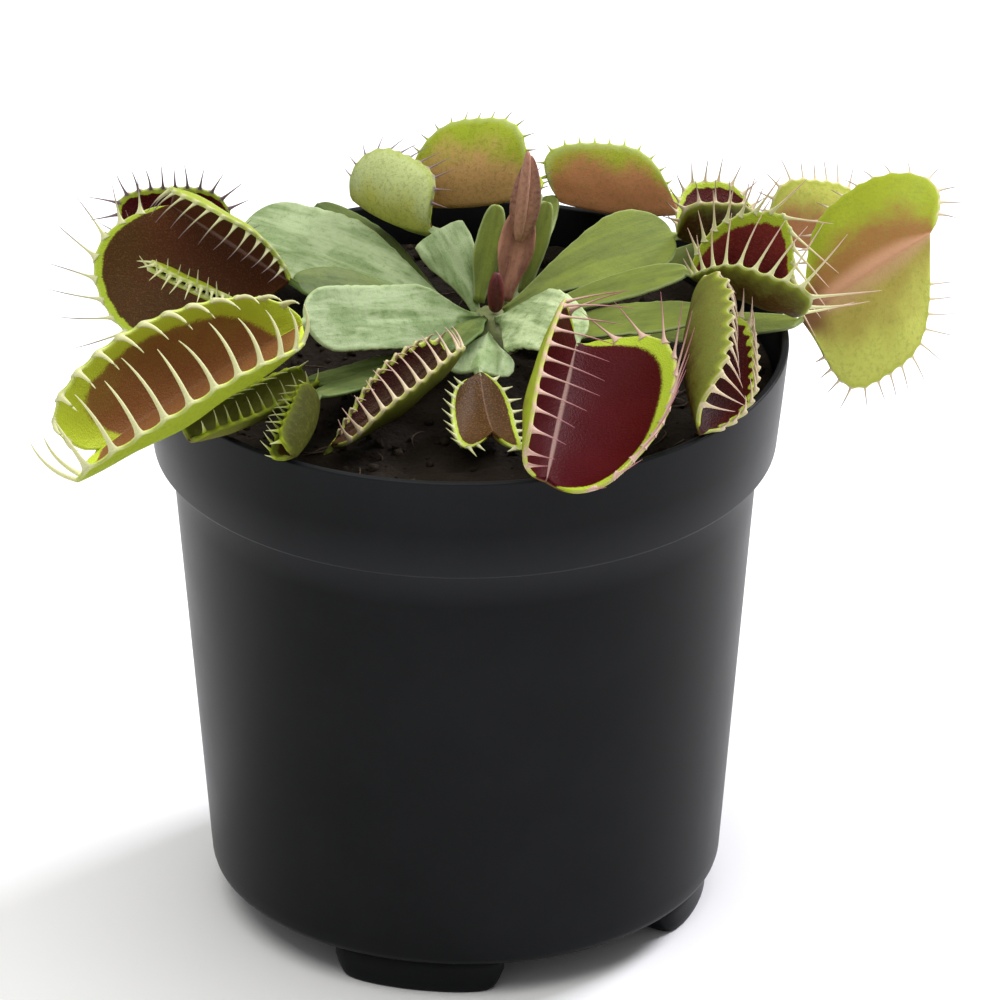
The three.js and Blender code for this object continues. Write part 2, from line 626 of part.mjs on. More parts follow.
// Soil: fills the pot under a lumpy top, with a plain hole for the crown
function soilGeometry() {
  const inside = (z) => {
    const s = (z - LEDGE_HEIGHT) / (POT_HEIGHT - LEDGE_HEIGHT);
    return LEDGE_RADIUS + (RIM_RADIUS - LEDGE_RADIUS) * s - WALL - GAP - 0.15;
  };
  const rings = [12, 21, 29, 36];
  const edge = SOIL_HEIGHT - 0.5;
  const profile = [
    [0, FOOT_HEIGHT + FLOOR + GAP],
    [BODY_FOOT_RADIUS - WALL - GAP - 0.1, FOOT_HEIGHT + FLOOR + GAP],
    [BODY_TOP_RADIUS - WALL - GAP - 0.15, LEDGE_HEIGHT + 0.3],
    [LEDGE_RADIUS - WALL - GAP - 0.5, LEDGE_HEIGHT + 2.3],
    [inside(edge), edge],
    ...[...rings].reverse().map((r) => [r, SOIL_HEIGHT]),
    [0, SOIL_HEIGHT],
  ];
  const g = turned(profile, 36);
  const pos = g.attributes.position;
  for (let i = 0; i < pos.count; i++) {
    const [x, y, z] = [pos.getX(i), pos.getY(i), pos.getZ(i)];
    const r = Math.hypot(x, y);
    if (z > SOIL_HEIGHT - 0.1 && r > 11) {
      const a = Math.round(36 * (Math.atan2(y, x) / (2 * Math.PI) + 1)) % 36;
      pos.setZ(i, z + 0.8 * scatter(a + 40 * Math.round(r), 3));
    }
  }
  const hole = turned(
    [
      [0, SOIL_HEIGHT - HOLE_DEPTH - GAP],
      [CROWN_RADIUS + GAP, SOIL_HEIGHT - HOLE_DEPTH - GAP],
      [CROWN_RADIUS + GAP, SOIL_HEIGHT + 4],
      [0, SOIL_HEIGHT + 4],
    ],
    20,
  );
  hole.translate(...CROWN, 0);
  return surface(solid(g).subtract(solid(hole)));
}

// Crown: a short rootstock that tapers to its top
function crownGeometry() {
  const g = turned(
    [
      [0, SOIL_HEIGHT - HOLE_DEPTH],
      [CROWN_RADIUS - 1, SOIL_HEIGHT - HOLE_DEPTH],
      [CROWN_RADIUS, SOIL_HEIGHT - HOLE_DEPTH + 2],
      ...[...CROWN_TAPER, CROWN_TOP].map((z) => [crownRadius(z), z]),
      [0, CROWN_TOP],
    ],
    18,
  );
  g.translate(...CROWN, 0);
  return g;
}

// A shut trap or bud: a pointed spindle between two ends, turned to one side
function spindle({ from, to, width, depth, square }, facing) {
  const start = vec(from);
  const axis = vec(to).sub(start);
  const length = axis.length();
  axis.normalize();
  const side = vec(facing).cross(axis).normalize();
  const front = axis.clone().cross(side);
  const profile = [[0, 0]];
  for (let i = 1; i < 8; i++) {
    profile.push([Math.sin((Math.PI * i) / 8) ** square * (1 - i / 32), (i / 8) * length]);
  }
  profile.push([0, length]);
  const move = new THREE.Matrix4().makeBasis(
    side.multiplyScalar(width / 2),
    front.multiplyScalar(depth / 2),
    axis,
  );
  move.setPosition(start);
  return turned(profile, 12).applyMatrix4(move);
}

const plant = new THREE.Group();
function place(name, look, geometry) {
  const material = new THREE.MeshStandardMaterial({ ...LOOKS[look], metalness: 0 });
  const mesh = new THREE.Mesh(geometry, material);
  mesh.name = name;
  mesh.position.set(...PLACE);
  plant.add(mesh);
}

place("pot", "plastic", potGeometry());
place("soil", "peat", soilGeometry());
place("crown", "sage", crownGeometry());
LEAVES.forEach((leaf, n) => {
  place("petiole_" + leaf.name, leaf.blade, petiole(leaf, n));
  place("trap_" + leaf.name, leaf.look, trap(leaf, n));
});
for (const leaf of SHOOTS) {
  const ends = { from: vec(leaf.from), to: vec(leaf.to), base: SHOOT_BASE };
  place(leaf.name, leaf.look, blade({ lift: 0, fold: 10, seed: 2, ...leaf, ...ends }));
}
const [flanks, ridge] = YOUNG_TRAP.map((body) => solid(spindle(body, [0.1, -1, 0.2])));
place("young_trap", "rose", surface(flanks.add(ridge)));
place("bud", "maroon", spindle(BUD, [0, -1, 0]));

export default plant;
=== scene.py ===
"""Venus flytrap in a round nursery pot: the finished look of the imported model.

Forms are worked out in millimetres from the pot's axis and placed in the frame's metres.
"""

import math

import bmesh
import bpy
import numpy as np
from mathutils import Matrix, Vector, noise


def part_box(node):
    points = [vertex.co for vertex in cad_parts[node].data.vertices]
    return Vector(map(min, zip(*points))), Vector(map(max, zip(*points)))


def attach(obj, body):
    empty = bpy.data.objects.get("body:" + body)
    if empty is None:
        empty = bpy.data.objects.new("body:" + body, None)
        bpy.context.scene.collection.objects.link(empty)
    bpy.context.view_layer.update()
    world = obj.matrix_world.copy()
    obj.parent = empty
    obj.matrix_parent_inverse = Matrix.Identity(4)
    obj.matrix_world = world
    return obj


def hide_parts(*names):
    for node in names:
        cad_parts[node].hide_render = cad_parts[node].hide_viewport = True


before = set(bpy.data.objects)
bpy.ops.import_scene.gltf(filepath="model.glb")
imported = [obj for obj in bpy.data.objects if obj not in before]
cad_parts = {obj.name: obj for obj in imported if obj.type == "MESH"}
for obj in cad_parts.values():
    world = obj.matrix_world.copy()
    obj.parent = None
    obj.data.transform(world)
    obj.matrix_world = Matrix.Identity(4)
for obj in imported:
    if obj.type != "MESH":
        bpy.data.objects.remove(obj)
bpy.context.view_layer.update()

bl_info = {
    "name": "Potted Venus Flytrap",
    "version": (1, 0, 0),
    "blender": (4, 5, 0),
    "location": "View3D > Sidebar > Flytrap",
    "description": "Builds a Venus flytrap with seventeen traps in a round nursery pot",
    "category": "Add Mesh",
}

MM = 0.001
# The pot's axis in the frame, in millimetres
PLACE = np.array([-5.9, 7.9, 0.0])

# Crown and pot, in millimetres
CROWN = (3.5, 9.5)
CROWN_RADIUS = 4.2
# Heights between which the crown first tapers, and how much narrower it gets there and from there to its top
CROWN_TAPER = (80.5, 82.5)
CROWN_NARROWS = (0.9, 1.5)
CROWN_TOP = 84.6
SOIL_HEIGHT = 79.5
HOLE_DEPTH = 9.0
# Height of the floor of the hole in the soil
HOLE_FLOOR = 72
GAP = 0.3
FOOT_HEIGHT = 5.0
LEDGE_HEIGHT = 69.9
FOOT_BEARINGS = (-102, -12, 78, 168)
FOOT_SPAN = 44
# Middle and half the width of the ring that the feet stand on
FOOT_MIDDLE = 29.5
FOOT_HALF = 4.5
# Height of each ring of a foot, how far in its sides and its sloping ends stand there, and how much paler it
# is coloured there
FOOT_RINGS = (
    (0, 0.35, 2.2, 0.4), (0.12, 0.1, 1.7, 0.3), (0.4, 0, 1.3, 0.1), (1.2, 0, 0.8, 0), (3, 0, 0.1, 0),
    (FOOT_HEIGHT + 0.7, 0, 0, 0),
)
# Radius and height along the soil's floor and side, inside the pot's wall
SOIL_SIDE = ((0.01, 6.7), (34.3, 6.7), (39.45, 70.2), (41.45, 72.2), (42.7814, 79))
SOIL_RINGS = 61
# How many crumbs and fibres lie on the soil, and how far out
CRUMBS = 420
CRUMBS_REACH = 41.5
FIBRES = 90
FIBRES_REACH = 40
# Half the width of a leaf blade where it goes over into the trap
NECK_HALF = 0.75
# How far along a tooth its rings lie, and its sides
TOOTH_STATIONS = (0, 0.03, 0.07, 0.13, 0.21, 0.31, 0.43, 0.56, 0.7, 0.84, 0.95, 1)
TOOTH_SIDES = 8


def lobe(breadth, first, final, slip=0.0, past=(0.06, 0.1), square=(0.6, 0.6)):
    """A lobe's breadth, its angles from the mouth's direction at the midrib and the margin, how far its
    margin slips towards the tip, what share of half its length it reaches past the neck and the tip, and its
    outline at either end, from 0.3 for a square corner to 1 for an oval."""
    turn = {"first": math.radians(first), "final": math.radians(final)}
    return dict(breadth=breadth, slip=slip, past=past, square=square, **turn)


def teeth(count, length, lean, sway=0.0, taper=0.0):
    """Teeth of both lobes: their count, length, turn towards the mouth and towards the tip, and how much
    longer they get towards the tip. Where the lobes differ, a pair gives both."""
    values = dict(length=length, lean=lean, sway=sway, taper=taper)
    pairs = {key: value if isinstance(value, tuple) else (value, value) for key, value in values.items()}
    return dict(count=count, **pairs)


# The leaves. root: bearing on the crown and height; lift: rise of the petiole's middle; wide: breadth of
# its blade; full: where it is broadest; even: where it gets that broad, if it is a strap; fold: how far its
# halves are folded up; face: the side it shows; neck and tip: the ends of the trap's midrib; opens: the way
# its mouth looks.
PLAIN_LEAF = dict(lift=2, full=0.6, even=None, fold=4, face=(0, 0, 1))
LEAVES = {
    "a": dict(
        root=(212, 84.2), lift=0.5, wide=9.4, full=0.85, even=0.36, face=(-0.1, -0.9, 0.6),
        neck=(-23.2, -20.8, 97.2), tip=(-50.4, -44.5, 89.9), opens=(0.3, -0.85, 0.43),
        lobes=(lobe(15.3, 81, 33, 9.7, (0.2, 0.43), (1.01, 1.03)),
               lobe(17.1, 35, -40, 8.8, (-0.04, 0.8), (0.75, 0.95))),
        teeth=teeth(13, (5, 9.5), (70, 62), taper=(0, 0.15)),
    ),
    "b": dict(
        root=(190, 82.4), wide=9, face=(0, -0.4, 1),
        neck=(-23.4, -4.8, 95.9), tip=(-40.1, 8.5, 101.2), opens=(0.05, -0.95, 0.31),
        lobes=(lobe(16.7, 37, -7, -4.1, (-0.3, -0.07), (1.2, 0.43)),
               lobe(18.4, 90, 70, 6.6, (-0.04, 0.8), (0.48, 1.2))),
        teeth=teeth(14, (5.5, 8), (75, 25), (0.3, 0.4)),
    ),
    "c": dict(
        root=(158, 82.4), lift=3, wide=14, full=0.86, even=0.62, fold=6, face=(0, -0.4, 1),
        neck=(-32.3, 28.7, 87.2), tip=(-47.4, 28.6, 86.6), opens=(0.01, -0.48, 0.88),
        lobes=(lobe(7.4, 74, 14, 1.5, (-0.02, 0.23), (0.6, 0.67)),
               lobe(7.4, 70, 5)),
        teeth=teeth(12, 6.5, 20),
    ),
    "d": dict(
        root=(205, 80.6), lift=-3, wide=3.6, full=0.4,
        neck=(-29.5, -12.2, 94.7), tip=(-43.1, -6.6, 99), opens=(0, -0.82, 0.57),
        lobes=(lobe(5.1, 34, -40, 2.9, (-0.3, -0.3), (0.65, 0.77)),
               lobe(3, 34, -9, 1.5, (0.02, -0.01), (0.5, 0.9))),
        teeth=teeth(10, (3, 4.2), 20),
    ),
    "e": dict(
        root=(224, 80.6), lift=-0.6, wide=6,
        neck=(-22, -16.6, 84.7), tip=(-37.6, -37.2, 86.7), opens=(0, -0.5, 1),
        lobes=(lobe(4.6, 70, 0), lobe(4.6, 70, 0)),
        teeth=teeth(11, 3, 45),
    ),
    "f": dict(
        root=(236, 82.4), lift=-1.7, wide=5,
        neck=(-19.3, -25.5, 88.1), tip=(-22.4, -40.5, 86.8), opens=(-0.9, 0.3, 0.4),
        lobes=(lobe(4.6, 60, 0), lobe(4.6, 60, 0)),
        teeth=teeth(9, 2.6, 30),
    ),
    "g": dict(
        root=(243, 84.2), lift=1, wide=4.5, full=0.55, face=(0, -0.2, 1),
        neck=(-2.4, -11.3, 87.3), tip=(-18, -27.5, 81.1), opens=(-0.25, -0.38, 0.89),
        lobes=(lobe(5.3, 41, 21, -3.1, (-0.05, -0.3), (0.96, 1.12)),
               lobe(10.4, 79, 3, -1.2, (-0.03, 0.02), (0.67, 0.69))),
        teeth=teeth(13, 5.2, 70, (0.25, -0.25)),
    ),
    "h": dict(
        root=(266, 82.4), wide=10, full=0.7, fold=-22, face=(0, -0.6, 1),
        neck=(1.8, -13, 85.4), tip=(3.6, -25.4, 82.3), opens=(0.25, -0.36, 0.9),
        lobes=(lobe(5.9, 100, 57, 6.5, (0.12, 0.12), (0.38, 0.57)),
               lobe(4, 99, 79, 2.4, (0.12, 0.8), (0.79, 0.48))),
        teeth=teeth(10, 2, 5),
    ),
    "i": dict(
        root=(300, 84.2), lift=3, wide=11, full=0.4, fold=-4, face=(0, -0.8, 0.7),
        neck=(14.8, -18.7, 91.9), tip=(10.6, -47.3, 85.5), opens=(0.27, -0.04, 0.96),
        lobes=(lobe(15.3, 59, -19, 8.5, (0.8, 0.15), (1.04, 0.7)),
               lobe(16.6, 100, 28, -5.8, (0.13, 0.8), (0.83, 0.65))),
        teeth=teeth(13, 8.5, (80, 25), (0, -0.9), (-0.6, -0.35)),
    ),
    "j": dict(
        root=(325, 80.6), wide=8, face=(0, -0.3, 1),
        neck=(31.6, -8.6, 91.2), tip=(31.2, -31.1, 85.1), opens=(0.82, -0.04, 0.57),
        lobes=(lobe(13.9, 94, -40, -4.9, (0.05, 0.28), (0.8, 0.66)),
               lobe(9.5, 66, -5, -1.1, (0.34, -0.3), (0.82, 0.75))),
        teeth=teeth(13, (6.5, 5), (75, 60)),
    ),
    "k": dict(
        root=(342, 82.4), wide=6, face=(0, -0.3, 1),
        neck=(31.5, 4.2, 92.5), tip=(45.2, -2.6, 89.9), opens=(-0.25, -0.61, 0.75),
        lobes=(lobe(12.6, 35, -40, 2.8, (-0.04, 0.8), (0.96, 0.75)),
               lobe(13.3, 64, 44, 2.5, (0.32, -0.3), (1.01, 1.2))),
        teeth=teeth(13, 8.5, (35, 15), (0.2, 1), (0.55, 0.3)),
    ),
    "l": dict(
        root=(22, 84.2), lift=3, wide=12, full=0.75, fold=6, face=(0, -0.5, 1),
        neck=(29.5, 18, 91.1), tip=(42, 25.8, 87.7), opens=(-0.12, -0.01, 0.99),
        lobes=(lobe(9.3, 59, 12, -1.8, (0.38, -0.2), (0.69, 1.19)),
               lobe(9.5, 63, 27, -1.2, (-0.3, -0.04), (1.1, 0.52))),
        teeth=teeth(10, 4, 25),
    ),
    "m": dict(
        root=(350, 80.6), lift=0, wide=6, face=(0, -0.2, 1),
        neck=(46.9, 0.8, 88), tip=(65, 12.5, 95.5), opens=(0.29, 0.87, -0.4),
        lobes=(lobe(14.3, 69, 49, 8.9, (-0.26, 0.8), (0.35, 1.14)),
               lobe(14.3, 69, 49, -3.4, (-0.3, -0.3), (0.47, 0.49))),
        teeth=teeth(14, (4, 5.5), 10, taper=(0, 0.5)),
    ),
    "n": dict(
        root=(15, 80.6), lift=1, wide=6, face=(0, -0.2, 1),
        neck=(42, 27, 87), tip=(56.5, 32.7, 82.6), opens=(-0.23, 0.73, 0.64),
        lobes=(lobe(9.9, 71, 13, -2, (-0.11, 0), (0.63, 0.6)),
               lobe(9.3, 69, 23, 0, (0.04, 0.04), (0.58, 0.6))),
        teeth=teeth(12, 4, 10),
    ),
    "o": dict(
        root=(82, 84.2), wide=3.2, face=(0, -0.6, 1),
        neck=(8.9, 23.3, 95.1), tip=(-9.4, 29.7, 90.9), opens=(0.3, 0.77, 0.56),
        lobes=(lobe(12.7, 64, 17, 0.2, (0, 0.1), (0.63, 0.56)),
               lobe(12.8, 70, -8, -3, (-0.12, -0.27), (0.69, 0.51))),
        teeth=teeth(13, 2.2, 10),
    ),
    "p": dict(
        root=(57, 82.4), lift=1, wide=4.5, face=(0, -0.5, 1),
        neck=(13.1, 32.9, 89.8), tip=(30.2, 32.5, 88), opens=(-0.02, 0.82, 0.57),
        lobes=(lobe(9.6, 57, 9, -2.2, (0.53, -0.26), (0.92, 0.58)),
               lobe(9.6, 65, 15)),
        teeth=teeth(12, 1.6, 10),
    ),
    "q": dict(
        root=(122, 82.4), wide=8, full=0.93, even=0.8, face=(0, -0.8, 1),
        neck=(-5.2, 18.5, 92), tip=(-16.4, 30.3, 91.6), opens=(0.55, 0.52, 0.65),
        lobes=(lobe(5.2, 84, 66, -1, (-0.1, -0.25)),
               lobe(11, 86, -24, 0.6, (0.2, -0.24), (0.6, 0.7))),
        teeth=teeth(12, 4.2, 10),
    ),
}

# Blades with no open trap. start and finish: where they start and end; end: half their width at the end;
# the rest is as in the leaves above.
SHOOTS = {
    "young_petiole": dict(
        start=(5.6, 11.3, 85.3), finish=(8, 15.4, 97.2), wide=5.2, full=0.6, face=(0.1, -1, 0.2), end=0.9,
    ),
    "leaflet_left": dict(
        start=(1.9, 12.6, 84.5), finish=(4.5, 16.8, 97.5), wide=4.2, full=0.5, face=(-0.2, -1, 0.3), end=0.5,
    ),
    "leaflet_right": dict(
        start=(8.1, 14.2, 85), finish=(11.4, 19.8, 96.6), wide=3.4, full=0.6, face=(0.2, -1, 0.3), end=0.5,
    ),
    "petiole_r": dict(
        start=(-0.8, 13, 80.8), finish=(-21, 36, 88.2), wide=7, full=0.6, face=(0, -0.4, 1), end=0.5,
    ),
}
# What these blades share. base: half their width at the start; seed: which waves their margins have
SHOOT_FORM = dict(lift=0, fold=10, seed=2, base=0.9)

# The young leaf's shut trap, flanks and ridge, and the bud: ends, width, depth and how round they taper, from
# 0.3 for blunt ends to 1 for sharp ones
YOUNG_TRAP = (
    ((7.7, 12.7, 93.6), (9.2, 14.6, 106.2), 4.9, 1.5, 0.6),
    ((7.3, 12.3, 94.2), (8.8, 13.7, 107.2), 1.9, 3.2, 0.3),
)
BUD = ((4.2, 8.6, 84.9), (4.4, 8.6, 91), 2.7, 2.4, 0.35)

# How each trap is coloured. inside and deep: its tone within towards the margin and the midrib; outside and
# blush: its back, and the tone of that towards the midrib; warm: how far the blush spreads; band: width of
# the pale margin in millimetres, on either lobe where a pair is given; neck_band and tip_band: how much
# wider it is at its ends; specks: how strongly the inside is dotted; freckles: the same of the back; frill:
# depth of the margin's scallops between the teeth, in millimetres; tooth and point: the teeth from root to
# end; slim: half the width of a tooth in millimetres; web: how far its foot spreads; curl: how much it
# bends; gloss: roughness within; sheen: how much it shines; rib and keel: how strong the painted highlight
# along the midrib within and along the keel outside is; flush: how red the back is near the neck;
# painted_lit_side: how much paler the back of the first lobe is painted than the other's, as painted light,
# or the reverse below 0; edge and outline: tone of the margin within and outside.
PLAIN_TRAP = dict(
    inside="crimson", deep="burgundy", outside="lime", blush="amber", warm=0.5, band=1, neck_band=0,
    tip_band=0, specks=0.2, freckles=0.15, frill=0.3, tooth="cream", point="cream", slim=0.14, web=1,
    curl=0.5, gloss=0.5, sheen=0.12, rib_highlight=0, keel_highlight=0, flush=0, painted_lit_side=0, edge="bright", outline="lime",
)
TRAP_LOOKS = {
    # a's margin within takes a brighter tone, painted light as if lit through
    "a": dict(inside="tan", deep="rust", blush="olive", warm=0.25, band=(3.4, 1.2), neck_band=0.9,
              tip_band=1.6, specks=0.9, frill=0.8, slim=0.3, curl=0.85, edge="zest"),
    "b": dict(inside="bark", deep="mahogany", blush="umber", warm=0.6, specks=0.25, point="smoke",
              slim=0.12, rib_highlight=0.2),
    "c": dict(inside="burgundy", deep="wine", outside="olive", blush="wine", warm=0.9, band=0.7,
              tooth="smoke", point="smoke", slim=0.12, gloss=0.4),
    "d": dict(deep="cocoa", blush="olive", band=1.3, slim=0.15),
    # Painted shade: e and f, which lie in shade, are coloured in dull dark greens and browns
    "e": dict(inside="moss", deep="moss", outside="moss", blush="bark", warm=0.3, specks=0.3, freckles=0.4,
              slim=0.1, tooth="lime", sheen=0.03, edge="olive", outline="olive"),
    "f": dict(inside="bark", deep="cocoa", outside="shade", blush="shade", warm=0.3, specks=0.4,
              freckles=0.5, slim=0.1, tooth="lime", sheen=0.02, edge="olive", outline="olive"),
    "g": dict(inside="wine", deep="cocoa", outside="olive", blush="moss", warm=0.6, band=0.6, frill=0.5,
              tooth="shell", point="rose", slim=0.17, freckles=0.4),
    # Partly painted shade: h's brown inside is given a darker brown for the shade in it
    "h": dict(inside="bark", deep="bark", outside="olive", blush="umber", band=0.7, specks=0.6, slim=0.14,
              rib_highlight=0.15),
    "i": dict(inside="garnet", deep="burgundy", blush="umber", warm=0.7, band=(0.8, 2.3), specks=0.05,
              tooth="rose", point="mauve", slim=0.13, curl=0.15, gloss=0.45, sheen=0.05, rib_highlight=0.5),
    # Partly painted shade: j's olive back is given a darker olive for the shade on it
    "j": dict(inside="garnet", deep="wine", outside="olive", blush="bark", warm=0.55, band=0.9, frill=0.9,
              tooth="shell", point="rose", slim=0.15, curl=0.3, freckles=0.8),
    "k": dict(outside="olive", blush="bark", warm=0.8, band=1.8, frill=0.5, point="rose", slim=0.16,
              curl=0.3, gloss=0.42, freckles=0.4),
    "l": dict(inside="garnet", deep="wine", outside="olive", blush="bark", warm=0.9, tooth="shell",
              point="smoke", slim=0.1),
    "m": dict(outside="apple", blush="apricot", band=2.5, tooth="shell", point="smoke", slim=0.1,
              web=0.6, freckles=0.1, keel_highlight=0.55, flush=0.85, painted_lit_side=-0.9),
    "n": dict(outside="celery", blush="salmon", warm=0.6, band=1.5, tooth="shell", point="smoke", slim=0.1,
              web=0.6, freckles=0.05),
    "o": dict(blush="peach", warm=0.66, band=1.5, tooth="lime", point="smoke", slim=0.09, web=0.35,
              freckles=0.25, outline="pale_lime"),
    "p": dict(blush="salmon", warm=0.76, band=1.5, tooth="lime", slim=0.09, web=0.35, freckles=0.2,
              outline="pale_lime"),
    "q": dict(inside="brick", deep="chestnut", outside="pale_lime", blush="celery", warm=0.4, band=1.5,
              tooth="smoke", point="smoke", slim=0.08, web=0.5, freckles=0.35),
}


# Tones of the petioles with the young leaf, and of the traps: name, colour and use
LEAF_TONES = {
    "sage": ((0.4, 0.49, 0.265), "Pale upper side of a broad petiole"),
    "moss": ((0.12, 0.2, 0.05), "Darker mottling of a petiole"),
    # Painted shade: fern and shade colour the petioles that lie in shade at the left front darker; fern is
    # also the mottling of the green petioles and the leaf bases
    "fern": ((0.13, 0.17, 0.04), "Body colour of a dark petiole"),
    "shade": ((0.04, 0.07, 0.012), "Mottling of a dark petiole"),
    # Painted light: the front petiole is coloured paler than the others, as if lit, because it faces the
    # front
    "frost": ((0.66, 0.78, 0.44), "Palest petiole, which faces the front"),
    "grass": ((0.215, 0.27, 0.042), "Body colour of a grass green petiole"),
    "edge": ((0.42, 0.5, 0.24), "Margin of a petiole"),
    "pink": ((0.47, 0.23, 0.15), "Young petiole and its trap"),
    "plum": ((0.17, 0.065, 0.05), "Shaded tone of the young leaf"),
    "bulb": ((0.3, 0.3, 0.17), "Leaf bases on the crown"),
}
TRAP_TONES = {
    "lime": ((0.33, 0.41, 0.022), "Back and margin of a trap"),
    "bright": ((0.42, 0.54, 0.04), "Margin of a trap within"),
    # Painted light: brighter than the plain margin, as if the light came through the largest trap's thin
    # margin
    "zest": ((0.55, 0.68, 0.05), "Margin of the largest trap within"),
    # Painted shade: moss and shade are the darkened tones of traps that lie in shade
    "moss": ((0.15, 0.16, 0.03), "Back of a trap in the shade"),
    "shade": ((0.05, 0.055, 0.01), "Darkest green of a trap's back"),
    "tan": ((0.27, 0.155, 0.04), "Olive brown inside"),
    "pale_lime": ((0.52, 0.6, 0.25), "Back of a pale trap"),
    "apple": ((0.26, 0.31, 0.014), "Back of the largest trap"),
    "celery": ((0.56, 0.58, 0.12), "Back of a trap that the light comes through"),
    "olive": ((0.15, 0.17, 0.025), "Dull green of a trap's back"),
    "amber": ((0.36, 0.18, 0.045), "Blush of a trap's back"),
    "apricot": ((0.24, 0.11, 0.025), "Blush of the largest trap's back"),
    "peach": ((0.56, 0.34, 0.13), "Blush of the rear trap with the light behind it"),
    "salmon": ((0.48, 0.21, 0.09), "Blush of the traps at the rear"),
    "umber": ((0.16, 0.075, 0.025), "Brown blush of a trap's back"),
    # Painted highlight: the pale pink band along the keel
    "blossom": ((0.55, 0.3, 0.19), "Pale pink keel"),
    "rust": ((0.26, 0.11, 0.04), "Orange brown inside"),
    "brick": ((0.17, 0.065, 0.03), "Red brown inside"),
    "chestnut": ((0.12, 0.055, 0.02), "Brown inside"),
    "cocoa": ((0.055, 0.025, 0.012), "Dark brown inside"),
    "bark": ((0.068, 0.029, 0.006), "Darker brown inside"),
    "mahogany": ((0.075, 0.019, 0.004), "Red brown inside"),
    "crimson": ((0.18, 0.022, 0.022), "Red inside"),
    "garnet": ((0.06, 0.0025, 0.003), "Clear dark red inside"),
    "burgundy": ((0.065, 0.004, 0.007), "Dark red inside"),
    "wine": ((0.035, 0.004, 0.007), "Darkest red inside"),
    "cream": ((0.66, 0.66, 0.36), "Pale teeth"),
    "shell": ((0.68, 0.56, 0.38), "Roots of the pinkish teeth"),
    # rose also paints the highlight along the midrib within
    "rose": ((0.6, 0.4, 0.33), "Ends of the pinkish teeth"),
    "mauve": ((0.36, 0.14, 0.17), "Ends of the reddest teeth"),
    "smoke": ((0.22, 0.16, 0.18), "Grey purple teeth"),
}


def colour(name, default, description):
    """A colour property."""
    return bpy.props.FloatVectorProperty(
        name=name, description=description, subtype="COLOR", size=3, min=0, max=1, default=default
    )


def colours(tones):
    """A colour property for each tone of a table."""
    return {key: colour(key.replace("_", " ").capitalize(), *row) for key, row in tones.items()}


def distance(name, default, description):
    """A length property, in metres."""
    return bpy.props.FloatProperty(name=name, description=description, unit="LENGTH", min=0, default=default)


class FLYTRAP_PG_pot(bpy.types.PropertyGroup):
    """Sizes and colours of the pot and what it is filled with."""

    rim_radius: distance("Rim radius", 0.045, "Outer radius of the pot at its rim")
    ledge_radius: distance("Ledge radius", 0.04335, "Outer radius of the rim band at its ledge")
    body_top_radius: distance("Body top radius", 0.041, "Outer radius of the body under the ledge")
    body_foot_radius: distance("Body foot radius", 0.0358, "Outer radius of the body at its floor")
    height: distance("Height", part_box("pot")[1][2], "Height of the rim over the ground")
    wall: distance("Wall", 0.0011, "Thickness of the wall")
    plastic: colour("Plastic", (0.0068, 0.0074, 0.0082), "Colour of the pot")
    # The pot's dust, and the painted highlight along its ledge and rim, take the colour below
    scuff_and_highlight: colour("Scuff", (0.06, 0.062, 0.068), "Colour of the pot's worn edges and dust")
    peat: colour("Peat", (0.018, 0.012, 0.007), "Colour of the soil")
    fibre: colour("Fibre", (0.10, 0.07, 0.045), "Colour of the fibres and crumbs in the soil")


class FLYTRAP_PG_leaves(bpy.types.PropertyGroup):
    """Colours of the petioles and the young leaf."""

    __annotations__ = colours(LEAF_TONES)


class FLYTRAP_PG_traps(bpy.types.PropertyGroup):
    """Sizes and colours of the traps."""

    __annotations__ = colours(TRAP_TONES)
    tooth_width: bpy.props.FloatProperty(
        name="Tooth width", description="Makes all the teeth thicker or thinner", default=1.0
    )


class FLYTRAP_PG_stage(bpy.types.PropertyGroup):
    """The floor, the light and the camera."""

    floor_radius: distance("Floor radius", 4.0, "Radius of the floor")
    floor_colour: colour("Floor colour", (0.97, 0.97, 0.97), "Colour of the floor")
    camera_distance: distance("Camera distance", 1.5, "Distance of the camera from what it looks at")
    camera_height: bpy.props.FloatProperty(
        name="Camera angle", description="How far the camera looks down", subtype="ANGLE",
        default=math.radians(27.05),
    )
    sky: bpy.props.FloatProperty(name="Sky", description="Strength of the even light", default=0.32)
    key: bpy.props.FloatProperty(name="Key", description="Power of the large light overhead", default=18.5)
    side: bpy.props.FloatProperty(name="Side", description="Power of the light at the right", default=17.0)


# Every product of two arrays' values
outer = np.multiply.outer


def unit(v):
    """The vectors, each at length 1."""
    v = np.asarray(v, float)
    return v / np.linalg.norm(v, axis=-1, keepdims=True)


def ease(x, low, high):
    """0 below low, 1 above high, and a smooth rise between."""
    t = np.clip((np.asarray(x, float) - low) / (high - low), 0, 1)
    return t * t * (3 - 2 * t)


def scatter(n, seed=0):
    """A repeatable number between -1 and 1 for the n-th small feature of a piece."""
    s = np.sin(12.9898 * n + 78.233 * seed + 1.7) * 43758.5453
    return 2 * (s - np.floor(s)) - 1


def net(rows, columns):
    """Faces of a grid of points whose columns run round."""
    r, c = np.meshgrid(np.arange(rows - 1), np.arange(columns), indexing="ij")
    d = (c + 1) % columns
    faces = np.stack([r * columns + c, r * columns + d, (r + 1) * columns + d, (r + 1) * columns + c], -1)
    return faces.reshape(-1, 4).tolist()


